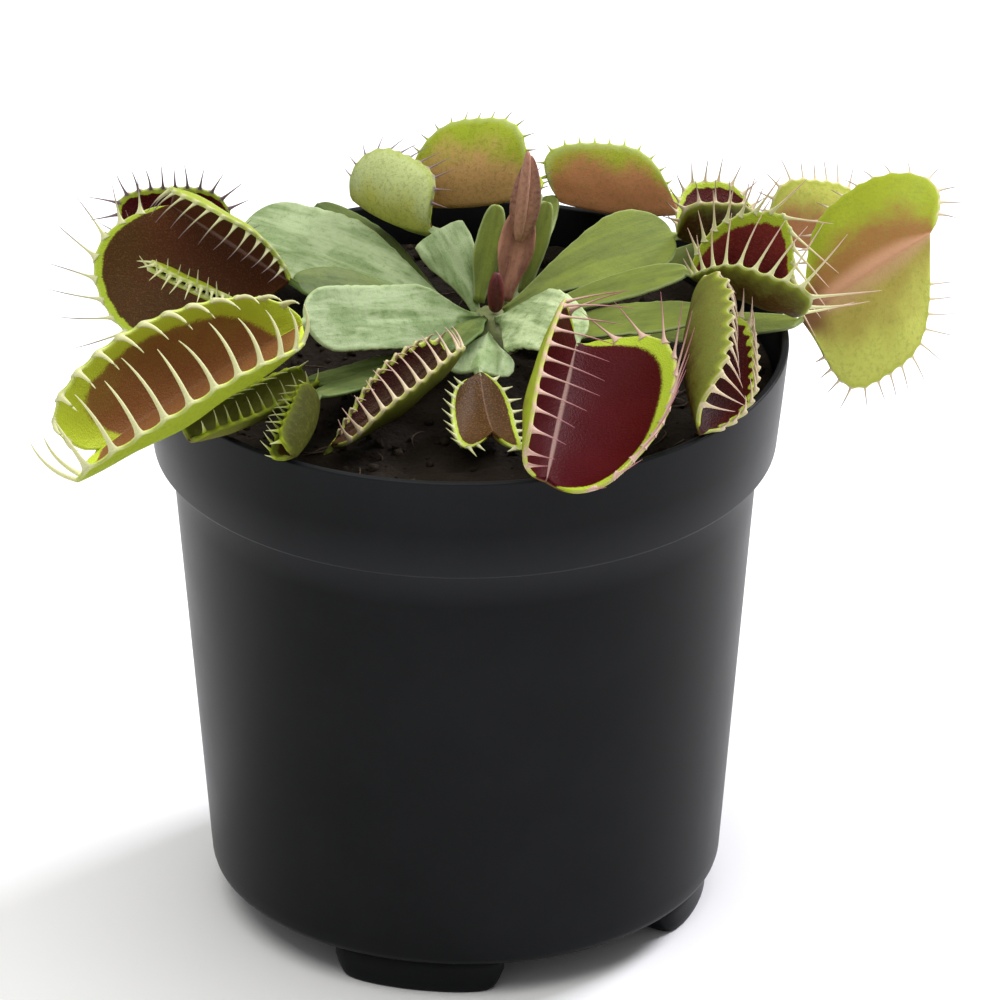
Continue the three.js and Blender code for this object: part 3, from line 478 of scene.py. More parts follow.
class Form:
    """Points, faces and named point values of one piece, in millimetres from the pot's axis."""

    def __init__(self, *names):
        self.points = []
        self.faces = []
        self.values = {name: [] for name in names}

    def add(self, points, faces, **values):
        """Adds a skin, with a value of each name spread over its points."""
        start = sum(map(len, self.points))
        self.points.append(points.reshape(-1, 3))
        self.faces += [[i + start for i in face] for face in faces]
        for name, held in self.values.items():
            held.append(np.broadcast_to(values.get(name, 0.0), points.shape[:-1]).ravel())

    def tube(self, rings, **values):
        """Adds rings of points joined end to end, with flat ends."""
        rows, columns = rings.shape[:2]
        near = list(range(columns))
        far = [(rows - 1) * columns + c for c in reversed(near)]
        self.add(rings, net(rows, columns) + [near, far], **values)

    def piece(self, name, material, *nodes):
        """Makes the object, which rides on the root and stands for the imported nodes."""
        mesh = bpy.data.meshes.new(name)
        points = (np.concatenate(self.points) + PLACE) * MM
        mesh.from_pydata(points.tolist(), [], self.faces)
        mesh.polygons.foreach_set("use_smooth", [True] * len(mesh.polygons))
        for label, held in self.values.items():
            layer = mesh.attributes.new(label, "FLOAT", "POINT")
            layer.data.foreach_set("value", np.concatenate(held).astype(np.float32))
        work = bmesh.new()
        work.from_mesh(mesh)
        bmesh.ops.recalc_face_normals(work, faces=work.faces)
        work.to_mesh(mesh)
        work.free()
        mesh.materials.append(material)
        made = bpy.data.objects.new(name, mesh)
        bpy.context.scene.collection.objects.link(made)
        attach(made, "root")
        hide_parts(*nodes)


class Value:
    """A number that changes over a surface. Arithmetic on it adds Math nodes."""

    def __init__(self, finish, socket):
        self.finish = finish
        self.socket = socket

    def math(self, operation, other=0.0, swapped=False):
        """The outcome of a Math node on this value and another."""
        first, second = (other, self) if swapped else (self, other)
        return self.finish.node("Math", {0: first, 1: second}, operation=operation)

    def __add__(self, other):
        return self.math("ADD", other)

    def __sub__(self, other):
        return self.math("SUBTRACT", other)

    def __rsub__(self, other):
        return self.math("SUBTRACT", other, True)

    def __mul__(self, other):
        return self.math("MULTIPLY", other)

    __radd__ = __add__
    __rmul__ = __mul__


class Finish:
    """One material and the nodes that colour it."""

    def __init__(self, name):
        self.material = bpy.data.materials.new(name)
        self.material.use_nodes = True
        self.tree = self.material.node_tree
        self.tree.nodes.clear()

    def node(self, kind, inputs=None, output=0, **settings):
        """Adds a node with its settings and the values or links of its sockets."""
        made = self.tree.nodes.new("ShaderNode" + kind)
        for key, value in settings.items():
            setattr(made, key, value)
        for key, value in (inputs or {}).items():
            socket = made.inputs[key]
            if isinstance(value, Value):
                self.tree.links.new(value.socket, socket)
            else:
                socket.default_value = (*value, 1) if socket.type == "RGBA" else value
        return Value(self, made.outputs[output]) if made.outputs else None

    def point(self, name):
        """A value that the mesh carries on its points."""
        return self.node("Attribute", output=2, attribute_name=name)

    def place(self):
        """The place on the piece in millimetres."""
        at = self.node("TexCoord", output=3)
        return self.node("VectorMath", {0: at, 1: (1 / MM,) * 3}, operation="MULTIPLY")

    def noise(self, scale, detail=2, roughness=0.5, at=None):
        """Soft noise with so many blotches in a millimetre."""
        inputs = {"Vector": at or self.place(), "Scale": scale, "Detail": detail, "Roughness": roughness}
        return self.node("TexNoise", inputs)

    def cells(self, scale, at=None):
        """Distance to the nearest of scattered dots, with so many dots in a millimetre."""
        return self.node("TexVoronoi", {"Vector": at or self.place(), "Scale": scale})

    def ease(self, value, low, high):
        """0 at low, 1 at high, and a smooth rise between."""
        if low > high:
            return 1 - self.ease(value, high, low)
        return self.node("MapRange", {0: value, 1: low, 2: high, 3: 0, 4: 1}, interpolation_type="SMOOTHSTEP")

    def mix(self, share, first, second):
        """From the first colour to the second as share goes from 0 to 1."""
        return self.node("Mix", {0: share, 6: first, 7: second}, 2, data_type="RGBA")

    def bump(self, height, depth):
        """A normal from a height between 0 and 1 and its depth in millimetres."""
        return self.node("Bump", {"Height": height, "Distance": depth * MM, "Strength": 1})

    def cover(self, base, roughness, normal=None, glow=None, depth=0.08, **constants):
        """Ends the material with its shader. glow: how far each colour of light goes in, in millimetres."""
        inputs = {"Base Color": base, "Roughness": roughness}
        if normal:
            inputs["Normal"] = normal
        if glow:
            inputs |= {"Subsurface Weight": depth, "Subsurface Radius": glow, "Subsurface Scale": MM}
        inputs |= {key.replace("_", " "): value for key, value in constants.items()}
        self.node("OutputMaterial", {"Surface": self.node("BsdfPrincipled", inputs)})
        return self.material


def midrib(leaf):
    """A trap's midrib: its start, length, directions, and how far its ends bend up towards the mouth."""
    neck = np.array(leaf["neck"], float)
    axis = np.array(leaf["tip"]) - neck
    length = np.linalg.norm(axis)
    axis = axis / length
    mouth = np.array(leaf["opens"], float)
    mouth = unit(mouth - axis * mouth.dot(axis))
    return neck, axis, length, mouth, np.cross(axis, mouth), 0.06 * length


def crown_radius(z):
    """The crown's radius at a height: even at its foot, then tapering in two stages."""
    low, high = CROWN_TAPER
    first, second = CROWN_NARROWS
    return min(
        CROWN_RADIUS,
        CROWN_RADIUS - first * (z - low) / (high - low),
        CROWN_RADIUS - first - second * (z - high) / (CROWN_TOP - high),
    )


def blade_form(start, finish, lift, wide, full, fold, face, base, end, seed, even=None, target=None):
    """A leaf blade between two places, and its round neck up to the target."""
    start, finish = np.array(start, float), np.array(finish, float)
    middle = (start + finish) / 2 + (0, 0, lift)
    length = np.linalg.norm(finish - start)
    rows = max(20, int(length * 1.6))
    t = 1 - (1 - np.linspace(0, 1, rows)) ** 1.5
    half_stations = np.append(np.linspace(0, 1, 11)[1:9] ** 0.85, [0.88, 0.95, 0.988, 1])
    v = np.concatenate([-half_stations[::-1], [0], half_stations])
    spot = np.outer((1 - t) ** 2, start) + np.outer(2 * t * (1 - t), middle) + np.outer(t**2, finish)
    along = unit(np.outer(1 - t, middle - start) + np.outer(t, finish - middle))
    side = unit(np.cross(along, unit(face)))
    up = unit(np.cross(side, along))
    half = wide / 2
    bulge = np.sqrt(np.clip(1 - ((t - full) / (1 - full)) ** 2, 0, 1))
    breadth = np.where(t < full, base + (half - base) * ease(t, 0, even or full), end + (half - end) * bulge)
    neck = np.zeros(rows)
    if target is not None:
        spot = np.concatenate([spot, finish + np.outer([0.4, 0.75, 1], target - finish)])
        breadth = np.append(breadth, NECK_HALF * np.array([0.86, 0.8, 0.75]))
        side, up = (np.concatenate([d, np.repeat(d[-1:], 3, 0)]) for d in (side, up))
        t = np.append(t, [1, 1, 1])
        neck = np.append(neck, [0.7, 1, 1])
    out = np.abs(v)
    t, breadth, neck = t[:, None], breadth[:, None], neck[:, None]
    side, up = side[:, None], up[:, None]
    hold = np.sin(np.pi * t)
    ripple = 0.09 * breadth * hold * v**2 * np.sin(9 * t + seed + np.where(v < 0, 2, 0))
    crimp = np.sin(t * length * 1.9 + seed * 1.7 + v) + 0.6 * np.sin(t * length * 3.3 + 2.6 * seed - 2 * v)
    ripple += 0.02 * breadth * hold * out**5 * crimp
    nick = 1 + 0.012 * hold * out**6 * np.sin(t * length * 2.7 + 1.3 * seed + 3 * v)
    across = breadth * v * nick
    rise = breadth * out * math.sin(math.radians(fold)) + ripple
    centre = spot[:, None] + side * (across * math.cos(math.radians(fold)))[..., None] + up * rise[..., None]
    round_edge = np.sqrt(np.clip(1 - (1 - np.clip((1 - out) * breadth / 0.5, 0, 1)) ** 2, 0, 1))
    thick = (0.31 + 0.32 * (1 - out) ** 2) * round_edge
    round_neck = np.sqrt(np.clip(1 - out**2, 0, 1)) * 0.8 * breadth
    thick = thick * (1 - neck) + round_neck * neck
    groove = 0.3 * np.exp(-((across / 0.55) ** 2)) * hold * ease(breadth, 1, 3)
    top = centre + up * (thick - groove)[..., None]
    under = centre - up * (thick + 0.5 * groove)[..., None]
    rim = (1 - out) * breadth

    def both(upper, lower):
        """The values of the upper side and back along the under side."""
        return np.concatenate([upper, lower[:, -2:0:-1]], 1)

    form = Form("run", "reach", "rim")
    form.tube(both(top, under), run=t * length, reach=both(across, across), rim=both(rim, rim))
    return form


def petiole_form(leaf, seed):
    """A petiole: narrow at the crown, broad further out, narrow at the trap's neck."""
    bearing, height = leaf["root"]
    turn = math.radians(bearing)
    reach = crown_radius(height - 0.7) + GAP + 0.1
    direction = np.array([math.cos(turn), math.sin(turn), 0])
    start = np.array([*CROWN, height]) + reach * direction
    neck, axis, _, mouth, _, arch = midrib(leaf)
    join = neck + mouth * arch
    bend = np.linalg.norm(np.cross(unit(join - start), axis))
    finish = join - axis * (GAP + 0.75 * bend)
    shape = {key: leaf[key] for key in ("lift", "wide", "full", "even", "fold", "face")}
    root = start - 0.9 * direction
    return blade_form(root, finish, base=0.65, end=NECK_HALF, seed=seed, target=join + axis, **shape)


class Trap:
    """Where the two cupped lobes of a trap lie on their midrib, lobe 0 on the side that across points to."""

    def __init__(self, leaf):
        self.neck, self.axis, self.length, self.mouth, self.across, self.arch = midrib(leaf)
        self.lobes = leaf["lobes"]
        self.teeth = leaf["teeth"]
        self.pitch = 1 / (self.teeth["count"] + 0.6)

    def sheet(self, l, along, out):
        """Points of a lobe's sheet, and its direction towards the inside there."""
        lobe, side = self.lobes[l], 1 - 2 * l
        first = lobe["first"]
        bend = (lobe["final"] - first) / lobe["breadth"]
        angle = first + bend * out
        q = 2 * along / self.length
        inward = outer(-side * np.cos(angle), self.across) + outer(np.sin(angle), self.mouth)
        spot = self.neck + outer(self.length / 2 + along + lobe["slip"] * out / lobe["breadth"], self.axis)
        spot = spot + outer(side * (math.cos(first) - np.cos(angle)) / bend, self.across)
        spot = spot + outer((np.sin(angle) - math.sin(first)) / bend + self.arch * q * q, self.mouth)
        return spot + inward * (0.12 * out * q * q)[..., None], inward

    def outline(self, l, turn):
        """The margin's place along the midrib and out from it."""
        lobe = self.lobes[l]
        c = np.cos(turn)
        square, past = (np.where(c < 0, *reversed(lobe[key])) for key in ("square", "past"))
        share = np.sin(turn) ** square
        along = -0.5 * self.length * np.sign(c) * np.abs(c) ** (square + 0.05)
        return along * (1 + past * share**0.7), lobe["breadth"] * share

    def turns(self, l, share):
        """Turns of the outline at shares of the margin's length, and that length."""
        dense = np.radians(np.linspace(6, 174, 400))
        spots, _ = self.sheet(l, *self.outline(l, dense))
        run = np.concatenate([[0], np.cumsum(np.linalg.norm(np.diff(spots, axis=0), axis=1))])
        return np.interp(share, run / run[-1], dense), run[-1]


def section(inside, outside):
    """The lobes' values in the order of a cross-section: in over both, and back round the outside."""
    parts = [inside[0][::-1], inside[1][1:], outside[1][-2:0:-1], outside[0][:-1]]
    return np.moveaxis(np.concatenate(parts), 0, 1)


def add_lobes(form, trap, seed, look):
    """Adds both lobes as one closed skin, scalloped between the teeth."""
    length = trap.length
    inset = np.linspace(0.025, 0.975, 8 * trap.teeth["count"] + 1)
    u = np.concatenate([[0, 0.004, 0.012], inset, [0.988, 0.996, 1]])
    comb = 0.5 + 0.5 * np.cos(2 * np.pi * (u / trap.pitch - 0.8))
    comb = comb**1.5 * ease(u, 0.02, 0.05) * (1 - ease(u, 0.96, 0.99))
    ends = np.minimum(u, 1 - u) * length
    end_round = np.sqrt(1 - (1 - np.clip((ends + 0.02) / 0.4, 0, 1)) ** 2)
    along_spine = length * (u - 0.5)
    steps = np.linspace(0, 1, 15)[:-1] ** 1.15
    near_rim = np.array([0.55, 0.32, 0.16, 0.05, 0])
    skins = []
    for l, lobe in enumerate(trap.lobes):
        along_rim, out_rim = trap.outline(l, trap.turns(l, u)[0])
        scallop = 0.3 * comb + (look["frill"] - 0.3) * (comb - 1)
        out_rim = out_rim + scallop * min(1, trap.teeth["length"][l] / 4)
        w = np.concatenate([np.outer(steps, 1 - 0.8 / out_rim), 1 - near_rim[:, None] / out_rim])
        out = w * out_rim
        spot, inward = trap.sheet(l, along_spine + (along_rim - along_spine) * w, out)
        blend = ease(out, 0, 1.4)[..., None]
        normal = unit(inward * blend + trap.mouth * (1 - blend))
        gap = out_rim - out
        rim_round = np.sqrt(1 - (1 - np.clip(gap / 0.45, 0, 1)) ** 2)
        half = ((0.55 - 0.21 * ease(out, 0, 1.8)) * rim_round * np.minimum(1, end_round))[..., None]
        swell = 0.1 * np.sin(2 * np.pi * u * 3.1 + seed) * np.sin(np.pi * w) * np.sin(3 * w + seed * 2)
        spot = spot + normal * (swell * lobe["breadth"] / 8)[..., None]
        ends_wider = look["tip_band"] * ease(u, 0.72, 1) + look["neck_band"] * (1 - ease(u, 0.05, 0.3))
        margin = gap / (np.broadcast_to(look["band"], 2)[l] * (1 + ends_wider))
        facts = dict(rim=gap, across=w, margin=margin, side=np.full(w.shape, 1.0 - l))
        skins.append((spot + normal * half, spot - normal * half, facts))
    first, second = skins
    facts = {}
    for key in first[2]:
        pair = (first[2][key], second[2][key])
        facts[key] = section(pair, pair)
    turning = 2 * (len(steps) + len(near_rim)) - 2
    around = 2 * turning
    inner = np.repeat([1.0, 0.0], turning)
    inner[[0, turning]] = 0.5
    faces = net(len(u), around)
    for c in (0, len(u) - 1):
        for k in range(turning):
            corners = dict.fromkeys([k, k + 1, around - k - 1, -k % around])
            cap = [c * around + i for i in corners]
            faces.append(cap if c else cap[::-1])
    points = section((first[0], second[0]), (first[1], second[1]))
    form.add(points, faces, inner=inner, along=(u * length)[:, None], comb=comb[:, None], **facts)


def add_teeth(form, trap, l, seed, look, width):
    """Adds the bent teeth along one lobe's margin."""
    side, count, pitch = 1 - 2 * l, trap.teeth["count"], trap.pitch
    longest, lean, slant, taper = (trap.teeth[trait][l] for trait in ("length", "lean", "sway", "taper"))
    tau = np.array(TOOTH_STATIONS)
    turn = np.arange(TOOTH_SIDES) * 2 * np.pi / TOOTH_SIDES
    for k in range(count):
        i = 2 * k + 1
        ends_at, margin_length = trap.turns(l, np.array([(k + 0.7) * pitch, (k + 0.9) * pitch]))
        spots, inwards = trap.sheet(l, *trap.outline(l, ends_at))
        inward = unit(inwards.sum(0))
        edge = unit(spots[1] - spots[0])
        outward = np.cross(edge, inward) * side
        stage = i / (2 * count + 1)
        swell = (0.55 + 0.45 * math.sin(math.pi * stage)) * (1 + taper * (2 * stage - 1))
        reach = longest * swell * (1 + 0.1 * scatter(i, seed + l))
        angle = math.radians(lean) * (1 + look["curl"] * (tau - 0.45))
        sway = slant + 0.16 * scatter(i + 40, seed + l) * tau
        heading = outer(np.cos(angle), outward) + outer(np.sin(angle), inward)
        heading = unit(heading + outer(sway, edge))
        step = np.diff(tau)[:, None] * (heading[1:] + heading[:-1]) / 2
        root = spots.mean(0) - outward * 0.35
        path = root + (reach + 0.35) * np.concatenate([np.zeros((1, 3)), np.cumsum(step, 0)])
        normal = unit(np.cross(np.cross(heading, inward + 1e-6), heading))
        across = np.cross(heading, normal)
        slim = look["slim"] * width * (1.35 - 0.95 * tau) * np.sqrt(1 - 0.8 * tau**5)
        foot = max(0, min(1.1, 0.31 * margin_length * pitch) - slim[0])
        flare = look["web"] * foot * np.exp(-tau * reach / 0.55)
        deep = np.minimum(0.33, slim + 0.3 * flare)
        rings = path[:, None] + outer(slim + flare, np.cos(turn))[..., None] * across[:, None]
        rings = rings + outer(deep, np.sin(turn))[..., None] * normal[:, None]
        form.tube(
            rings, across=1.0, along=stage * trap.length, comb=1.0, inner=0.5 + 0.5 * np.sin(turn),
            tooth=np.maximum(tau, 0.01)[:, None],
        )


def trap_form(leaf, seed, look, tooth_width):
    """A trap: two cupped lobes on one midrib, with a row of teeth along either margin."""
    form = Form("rim", "across", "along", "inner", "comb", "margin", "side", "tooth")
    trap = Trap(leaf)
    add_lobes(form, trap, seed, look)
    for l in range(2):
        add_teeth(form, trap, l, seed, look, tooth_width)
    return form


def turned_rings(profile, segments, centre=(0, 0)):
    """Rings of points about an upright axis from radius and height pairs."""
    turn = np.arange(segments) * 2 * np.pi / segments
    r, z = np.array(profile, float).T[..., None]
    return np.stack([centre[0] + r * np.cos(turn), centre[1] + r * np.sin(turn), z + 0 * turn], -1)


def rounded(profile, radii, steps=5):
    """The outline with its corners rounded by so many millimetres each."""
    profile = np.array(profile, float)
    outline = [profile[0]]
    for before, corner, after, radius in zip(profile, profile[1:], profile[2:], radii):
        if radius == 0:
            outline.append(corner)
            continue
        into = corner + unit(before - corner) * min(radius, 0.45 * np.linalg.norm(before - corner))
        away = corner + unit(after - corner) * min(radius, 0.45 * np.linalg.norm(after - corner))
        for t in np.linspace(0, 1, steps):
            outline.append((1 - t) ** 2 * into + 2 * t * (1 - t) * corner + t * t * away)
    outline.append(profile[-1])
    return np.array(outline)


def pot_form(pot):
    """The pot: body, ledge and rim band turned in one piece, with four feet under the floor."""
    rim, ledge = pot.rim_radius / MM, pot.ledge_radius / MM
    top, foot = pot.body_top_radius / MM, pot.body_foot_radius / MM
    height, wall = pot.height / MM, pot.wall / MM
    profile = [
        (0.01, FOOT_HEIGHT), (foot - 8, FOOT_HEIGHT), (foot, FOOT_HEIGHT), (foot + 0.26, FOOT_HEIGHT + 3.2),
        (top - 0.5, LEDGE_HEIGHT - 6), (top, LEDGE_HEIGHT), (ledge, LEDGE_HEIGHT),
        (ledge + 0.8, LEDGE_HEIGHT + 7), (rim, height), (rim - wall, height),
        (ledge - wall, LEDGE_HEIGHT + 1.6), (top - wall, LEDGE_HEIGHT + 0.4),
        (foot - wall, FOOT_HEIGHT + 1.4), (0.01, FOOT_HEIGHT + 1.4),
    ]
    outline = rounded(profile, [0, 2.2, 0, 0, 0.25, 0.35, 0, 0.4, 0.35, 0.5, 0.5, 1])
    fine = [outline[0]]
    for before, after in zip(outline, outline[1:]):
        pieces = max(1, int(np.linalg.norm(after - before) / 6))
        fine += [before + (after - before) * (k + 1) / pieces for k in range(pieces)]
    form = Form("edge")
    z = np.array(fine)[:, 1:]
    # Painted highlight: a pale line along the ledge and, fainter, along the rim
    edge = np.exp(-(((z - LEDGE_HEIGHT) / 0.35) ** 2)) + 0.25 * np.exp(-(((z - height) / 0.5) ** 2))
    form.tube(turned_rings(fine, 144), edge=edge)
    corners = np.array([(1, -1), (1, 1), (-1, 1), (-1, -1), (1, -1)])
    share = np.linspace(0, 1, 12, endpoint=False)[:, None]
    sides = np.concatenate([start + (end - start) * share for start, end in zip(corners, corners[1:])])
    # Corners drawn in by a squircle
    radial, turn = (sides * (np.abs(sides) ** 7).sum(1, keepdims=True) ** (-1 / 7)).T
    for bearing in FOOT_BEARINGS:
        rings = []
        for z, inset, slope, _ in FOOT_RINGS:
            r = FOOT_MIDDLE + radial * (FOOT_HALF - inset)
            a = math.radians(bearing - 90) + turn * (math.radians(FOOT_SPAN / 2) - slope / 30)
            rings.append(np.stack([r * np.cos(a), r * np.sin(a), np.full(len(r), z)], -1))
        form.tube(np.array(rings), edge=np.array(FOOT_RINGS)[:, 3:])
    return form


def swell(x, y):
    """How high the soil's broad swells are at a place."""
    return 0.75 * noise.fractal(Vector((x * 0.22, y * 0.22, 3)), 1.0, 2.0, 3)


def soil_form():
    """Peat that fills the pot, with a lumpy crumbly top round the crown."""
    form = Form("crumb")
    segments = 150
    radius = np.linspace(SOIL_SIDE[-1][0], CROWN_RADIUS + 0.1, SOIL_RINGS + 1)[1:]
    side = turned_rings(SOIL_SIDE, segments)
    top = turned_rings([(r, SOIL_HEIGHT) for r in radius], segments)
    share = np.linspace(0, 1, SOIL_RINGS)[:, None, None]
    top[..., :2] += ease(share, 0.1, 1) * CROWN
    lumps = np.zeros(top.shape[:2])
    for r, c in np.ndindex(lumps.shape):
        x, y, _ = top[r, c]
        lumps[r, c] = noise.fractal(Vector((x * 0.9, y * 0.9, 9)), 0.8, 2.1, 4)
        top[r, c, 2] += (swell(x, y) + 0.45 * lumps[r, c]) * (1 - 0.6 * share[r, 0, 0] ** 6)
    sunk = turned_rings([(CROWN_RADIUS + 0.05, HOLE_FLOOR), (0.01, HOLE_FLOOR)], segments, CROWN)
    lumps = np.pad(lumps, ((len(side), len(sunk)), (0, 0)))
    form.tube(np.concatenate([side, top, sunk]), crumb=0.25 + 0.5 * lumps)
    random = np.random.default_rng(41)
    ball = bmesh.new()
    bmesh.ops.create_icosphere(ball, subdivisions=1, radius=1)
    ball_points = np.array([v.co for v in ball.verts])
    ball_faces = [[v.index for v in f.verts] for f in ball.faces]
    ball.free()
    for _ in range(CRUMBS):
        a, r = random.uniform(0, 2 * np.pi), CRUMBS_REACH * math.sqrt(random.uniform(0.03, 1))
        size = random.uniform(0.25, 0.95) ** 1.5 * 1.3
        stretch = random.uniform(0.55, 1.0, 3) * size
        bumps = 1 + 0.22 * random.standard_normal(len(ball_points))[:, None]
        x, y = r * math.cos(a), r * math.sin(a)
        if math.hypot(x - CROWN[0], y - CROWN[1]) < 6:
            continue
        spot = np.array([x, y, SOIL_HEIGHT + swell(x, y) + 0.15 * size])
        form.add(spot + ball_points * bumps * stretch, ball_faces, crumb=random.uniform(0.1, 1.0))
    t = np.linspace(-0.5, 0.5, 7)
    thick = 0.14 * (1 - (2 * t) ** 2 * 0.8)
    sides = np.arange(5) * 2 * np.pi / 5
    for _ in range(FIBRES):
        a, r = random.uniform(0, 2 * np.pi), FIBRES_REACH * math.sqrt(random.uniform(0.08, 1))
        heading = random.uniform(0, 2 * np.pi)
        size = random.uniform(2, 6)
        x = r * math.cos(a) + np.cos(heading + 0.8 * t) * t * size
        y = r * math.sin(a) + np.sin(heading + 0.8 * t) * t * size
        inside = np.minimum(1, 41.4 / np.hypot(x, y))
        x, y = x * inside, y * inside
        z = SOIL_HEIGHT + np.array([swell(p, q) for p, q in zip(x, y)]) + 0.45 - 1.2 * t**2
        lateral = np.array([-math.sin(heading), math.cos(heading), 0])
        rings = np.stack([x, y, z], -1)[:, None] + np.outer(thick, np.cos(sides))[..., None] * lateral
        rings = rings + np.outer(thick, np.sin(sides))[..., None] * np.array([0, 0, 1])
        form.tube(rings, crumb=1.6)
    return form


def crown_form():
    """The short rootstock with the bases of the leaves round it."""
    foot = SOIL_HEIGHT - HOLE_DEPTH
    profile = [(0.01, foot), (CROWN_RADIUS - 1, foot)]
    profile += [(crown_radius(z), z) for z in np.linspace(foot + 2, CROWN_TOP, 26)]
    rings = turned_rings(profile + [(0.01, CROWN_TOP)], 64)
    x, y, z = np.moveaxis(rings, -1, 0)
    turn = np.arctan2(y, x)
    lobes = 1 + 0.05 * np.cos(7 * turn + 0.8 * z) - 0.05 * np.abs(np.sin(0.5 * (5 * turn - 1.3 * z)))
    rings[..., :2] = rings[..., :2] * lobes[..., None] + CROWN
    form = Form("run", "reach", "rim")
    form.tube(rings, run=z, rim=2.0)
    return form


def spindle_form(facing, *spindles, rows=30, segments=40):
    """Pointed spindles between two ends, turned to one side. Those after the first are ridges on it."""
    form = Form("ridge", "slit")
    for ridge, (start, finish, width, depth, square) in enumerate(spindles):
        start = np.array(start, float)
        axis = np.array(finish) - start
        length = np.linalg.norm(axis)
        axis = axis / length
        side = unit(np.cross(facing, axis))
        front = np.cross(axis, side)
        t = 0.5 - 0.5 * np.cos(np.linspace(0.02, 1, rows) * np.pi)
        t[-1] = 0.998
        radius = np.sin(np.pi * t) ** square * (1 - t / 4)
        turn = np.arange(segments) * 2 * np.pi / segments
        rings = start + (t * length)[:, None, None] * axis
        rings = rings + (np.outer(radius, np.cos(turn)) * width / 2)[..., None] * side
        rings = rings + (np.outer(radius, np.sin(turn)) * depth / 2)[..., None] * front
        form.tube(rings, ridge=ridge, slit=np.abs(np.cos(turn)))
    return form


def plastic_finish(pot):
    """Matte moulded plastic, with a painted highlight along its ledge and rim, paler lower edges on its feet,
    faint clouding and dust.
    """
    f = Finish("moulded_plastic")
    haze = f.noise(0.08, 4, 0.6)
    grain = f.noise(6.0, 2)
    dust = f.ease(f.noise(0.7, 4, 0.6), 0.62, 0.85)
    edge = f.point("edge")
    # Faint clouding, the painted highlight along the ledge and rim, the paler foot edges, and dust
    dust_and_highlight = f.ease(haze, 0.35, 0.7) * 0.03 + edge * 0.5 + dust * 0.015
    base = f.mix(dust_and_highlight, pot.plastic, pot.scuff_and_highlight)
    roughness = 0.28 + 0.1 * haze + 0.05 * grain
    return f.cover(base, roughness, f.bump(grain + 0.6 * haze, 0.015), Specular_IOR_Level=0.07)


def peat_finish(pot):
    """Crumbly dark peat."""
    f = Finish("peat")
    crumb = f.point("crumb")
    grain = f.noise(1.6, 5, 0.7)
    dots = f.cells(1.1)
    pale = f.ease(crumb * 0.5 + grain * 0.7, 0.55, 1.25)
    base = f.mix(pale, pot.peat, pot.fibre)
    return f.cover(base, 0.95, f.bump(grain + 0.5 * dots, 0.5), Specular_IOR_Level=0.2)


def petiole_finish(name, body, mottle, edge_tone):
    """Waxy leaf skin: cloudy and mottled, darker at the foot, dotted, with a pale margin."""
    f = Finish(name)
    run, reach, rim = f.point("run"), f.point("reach"), f.point("rim")
    at = f.place()
    cloud = f.noise(0.17, 3, 0.55, at)
    spots = f.noise(0.75, 5, 0.72, at)
    fine = f.noise(3.2, 3, 0.65, at)
    pores = f.cells(1.9, at)
    flow = f.node("CombineXYZ", {0: run * 0.1, 1: reach * 0.6, 2: cloud})
    veins = f.noise(1.0, 2, 0.5, flow)
    threads = f.noise(3.0, 3, 0.6, flow)
    tone = f.ease(0.4 * cloud + 0.8 * veins, 0.52, 0.74) * 0.55 + f.ease(threads, 0.46, 0.7) * 0.25
    tone = tone + f.ease(spots, 0.5, 0.68) * 0.2
    tone = tone + f.ease(run, 11.0, 1.0) * 0.35 + f.ease(fine, 0.55, 0.7) * 0.2
    base = f.mix(tone.math("MINIMUM", 1.0), body, mottle)
    base = f.mix(f.ease(pores, 0.22, 0.1) * f.ease(spots, 0.4, 0.6) * 0.6, base, mottle)
    base = f.mix(f.ease(rim, 0.45, 0.08) * 0.5, base, edge_tone)
    height = 0.4 * spots + 0.6 * veins + 0.2 * threads + 0.15 * fine
    return f.cover(base, 0.5 + 0.16 * spots, f.bump(height, 0.25), (0.6, 1.0, 0.3), Specular_IOR_Level=0.22)


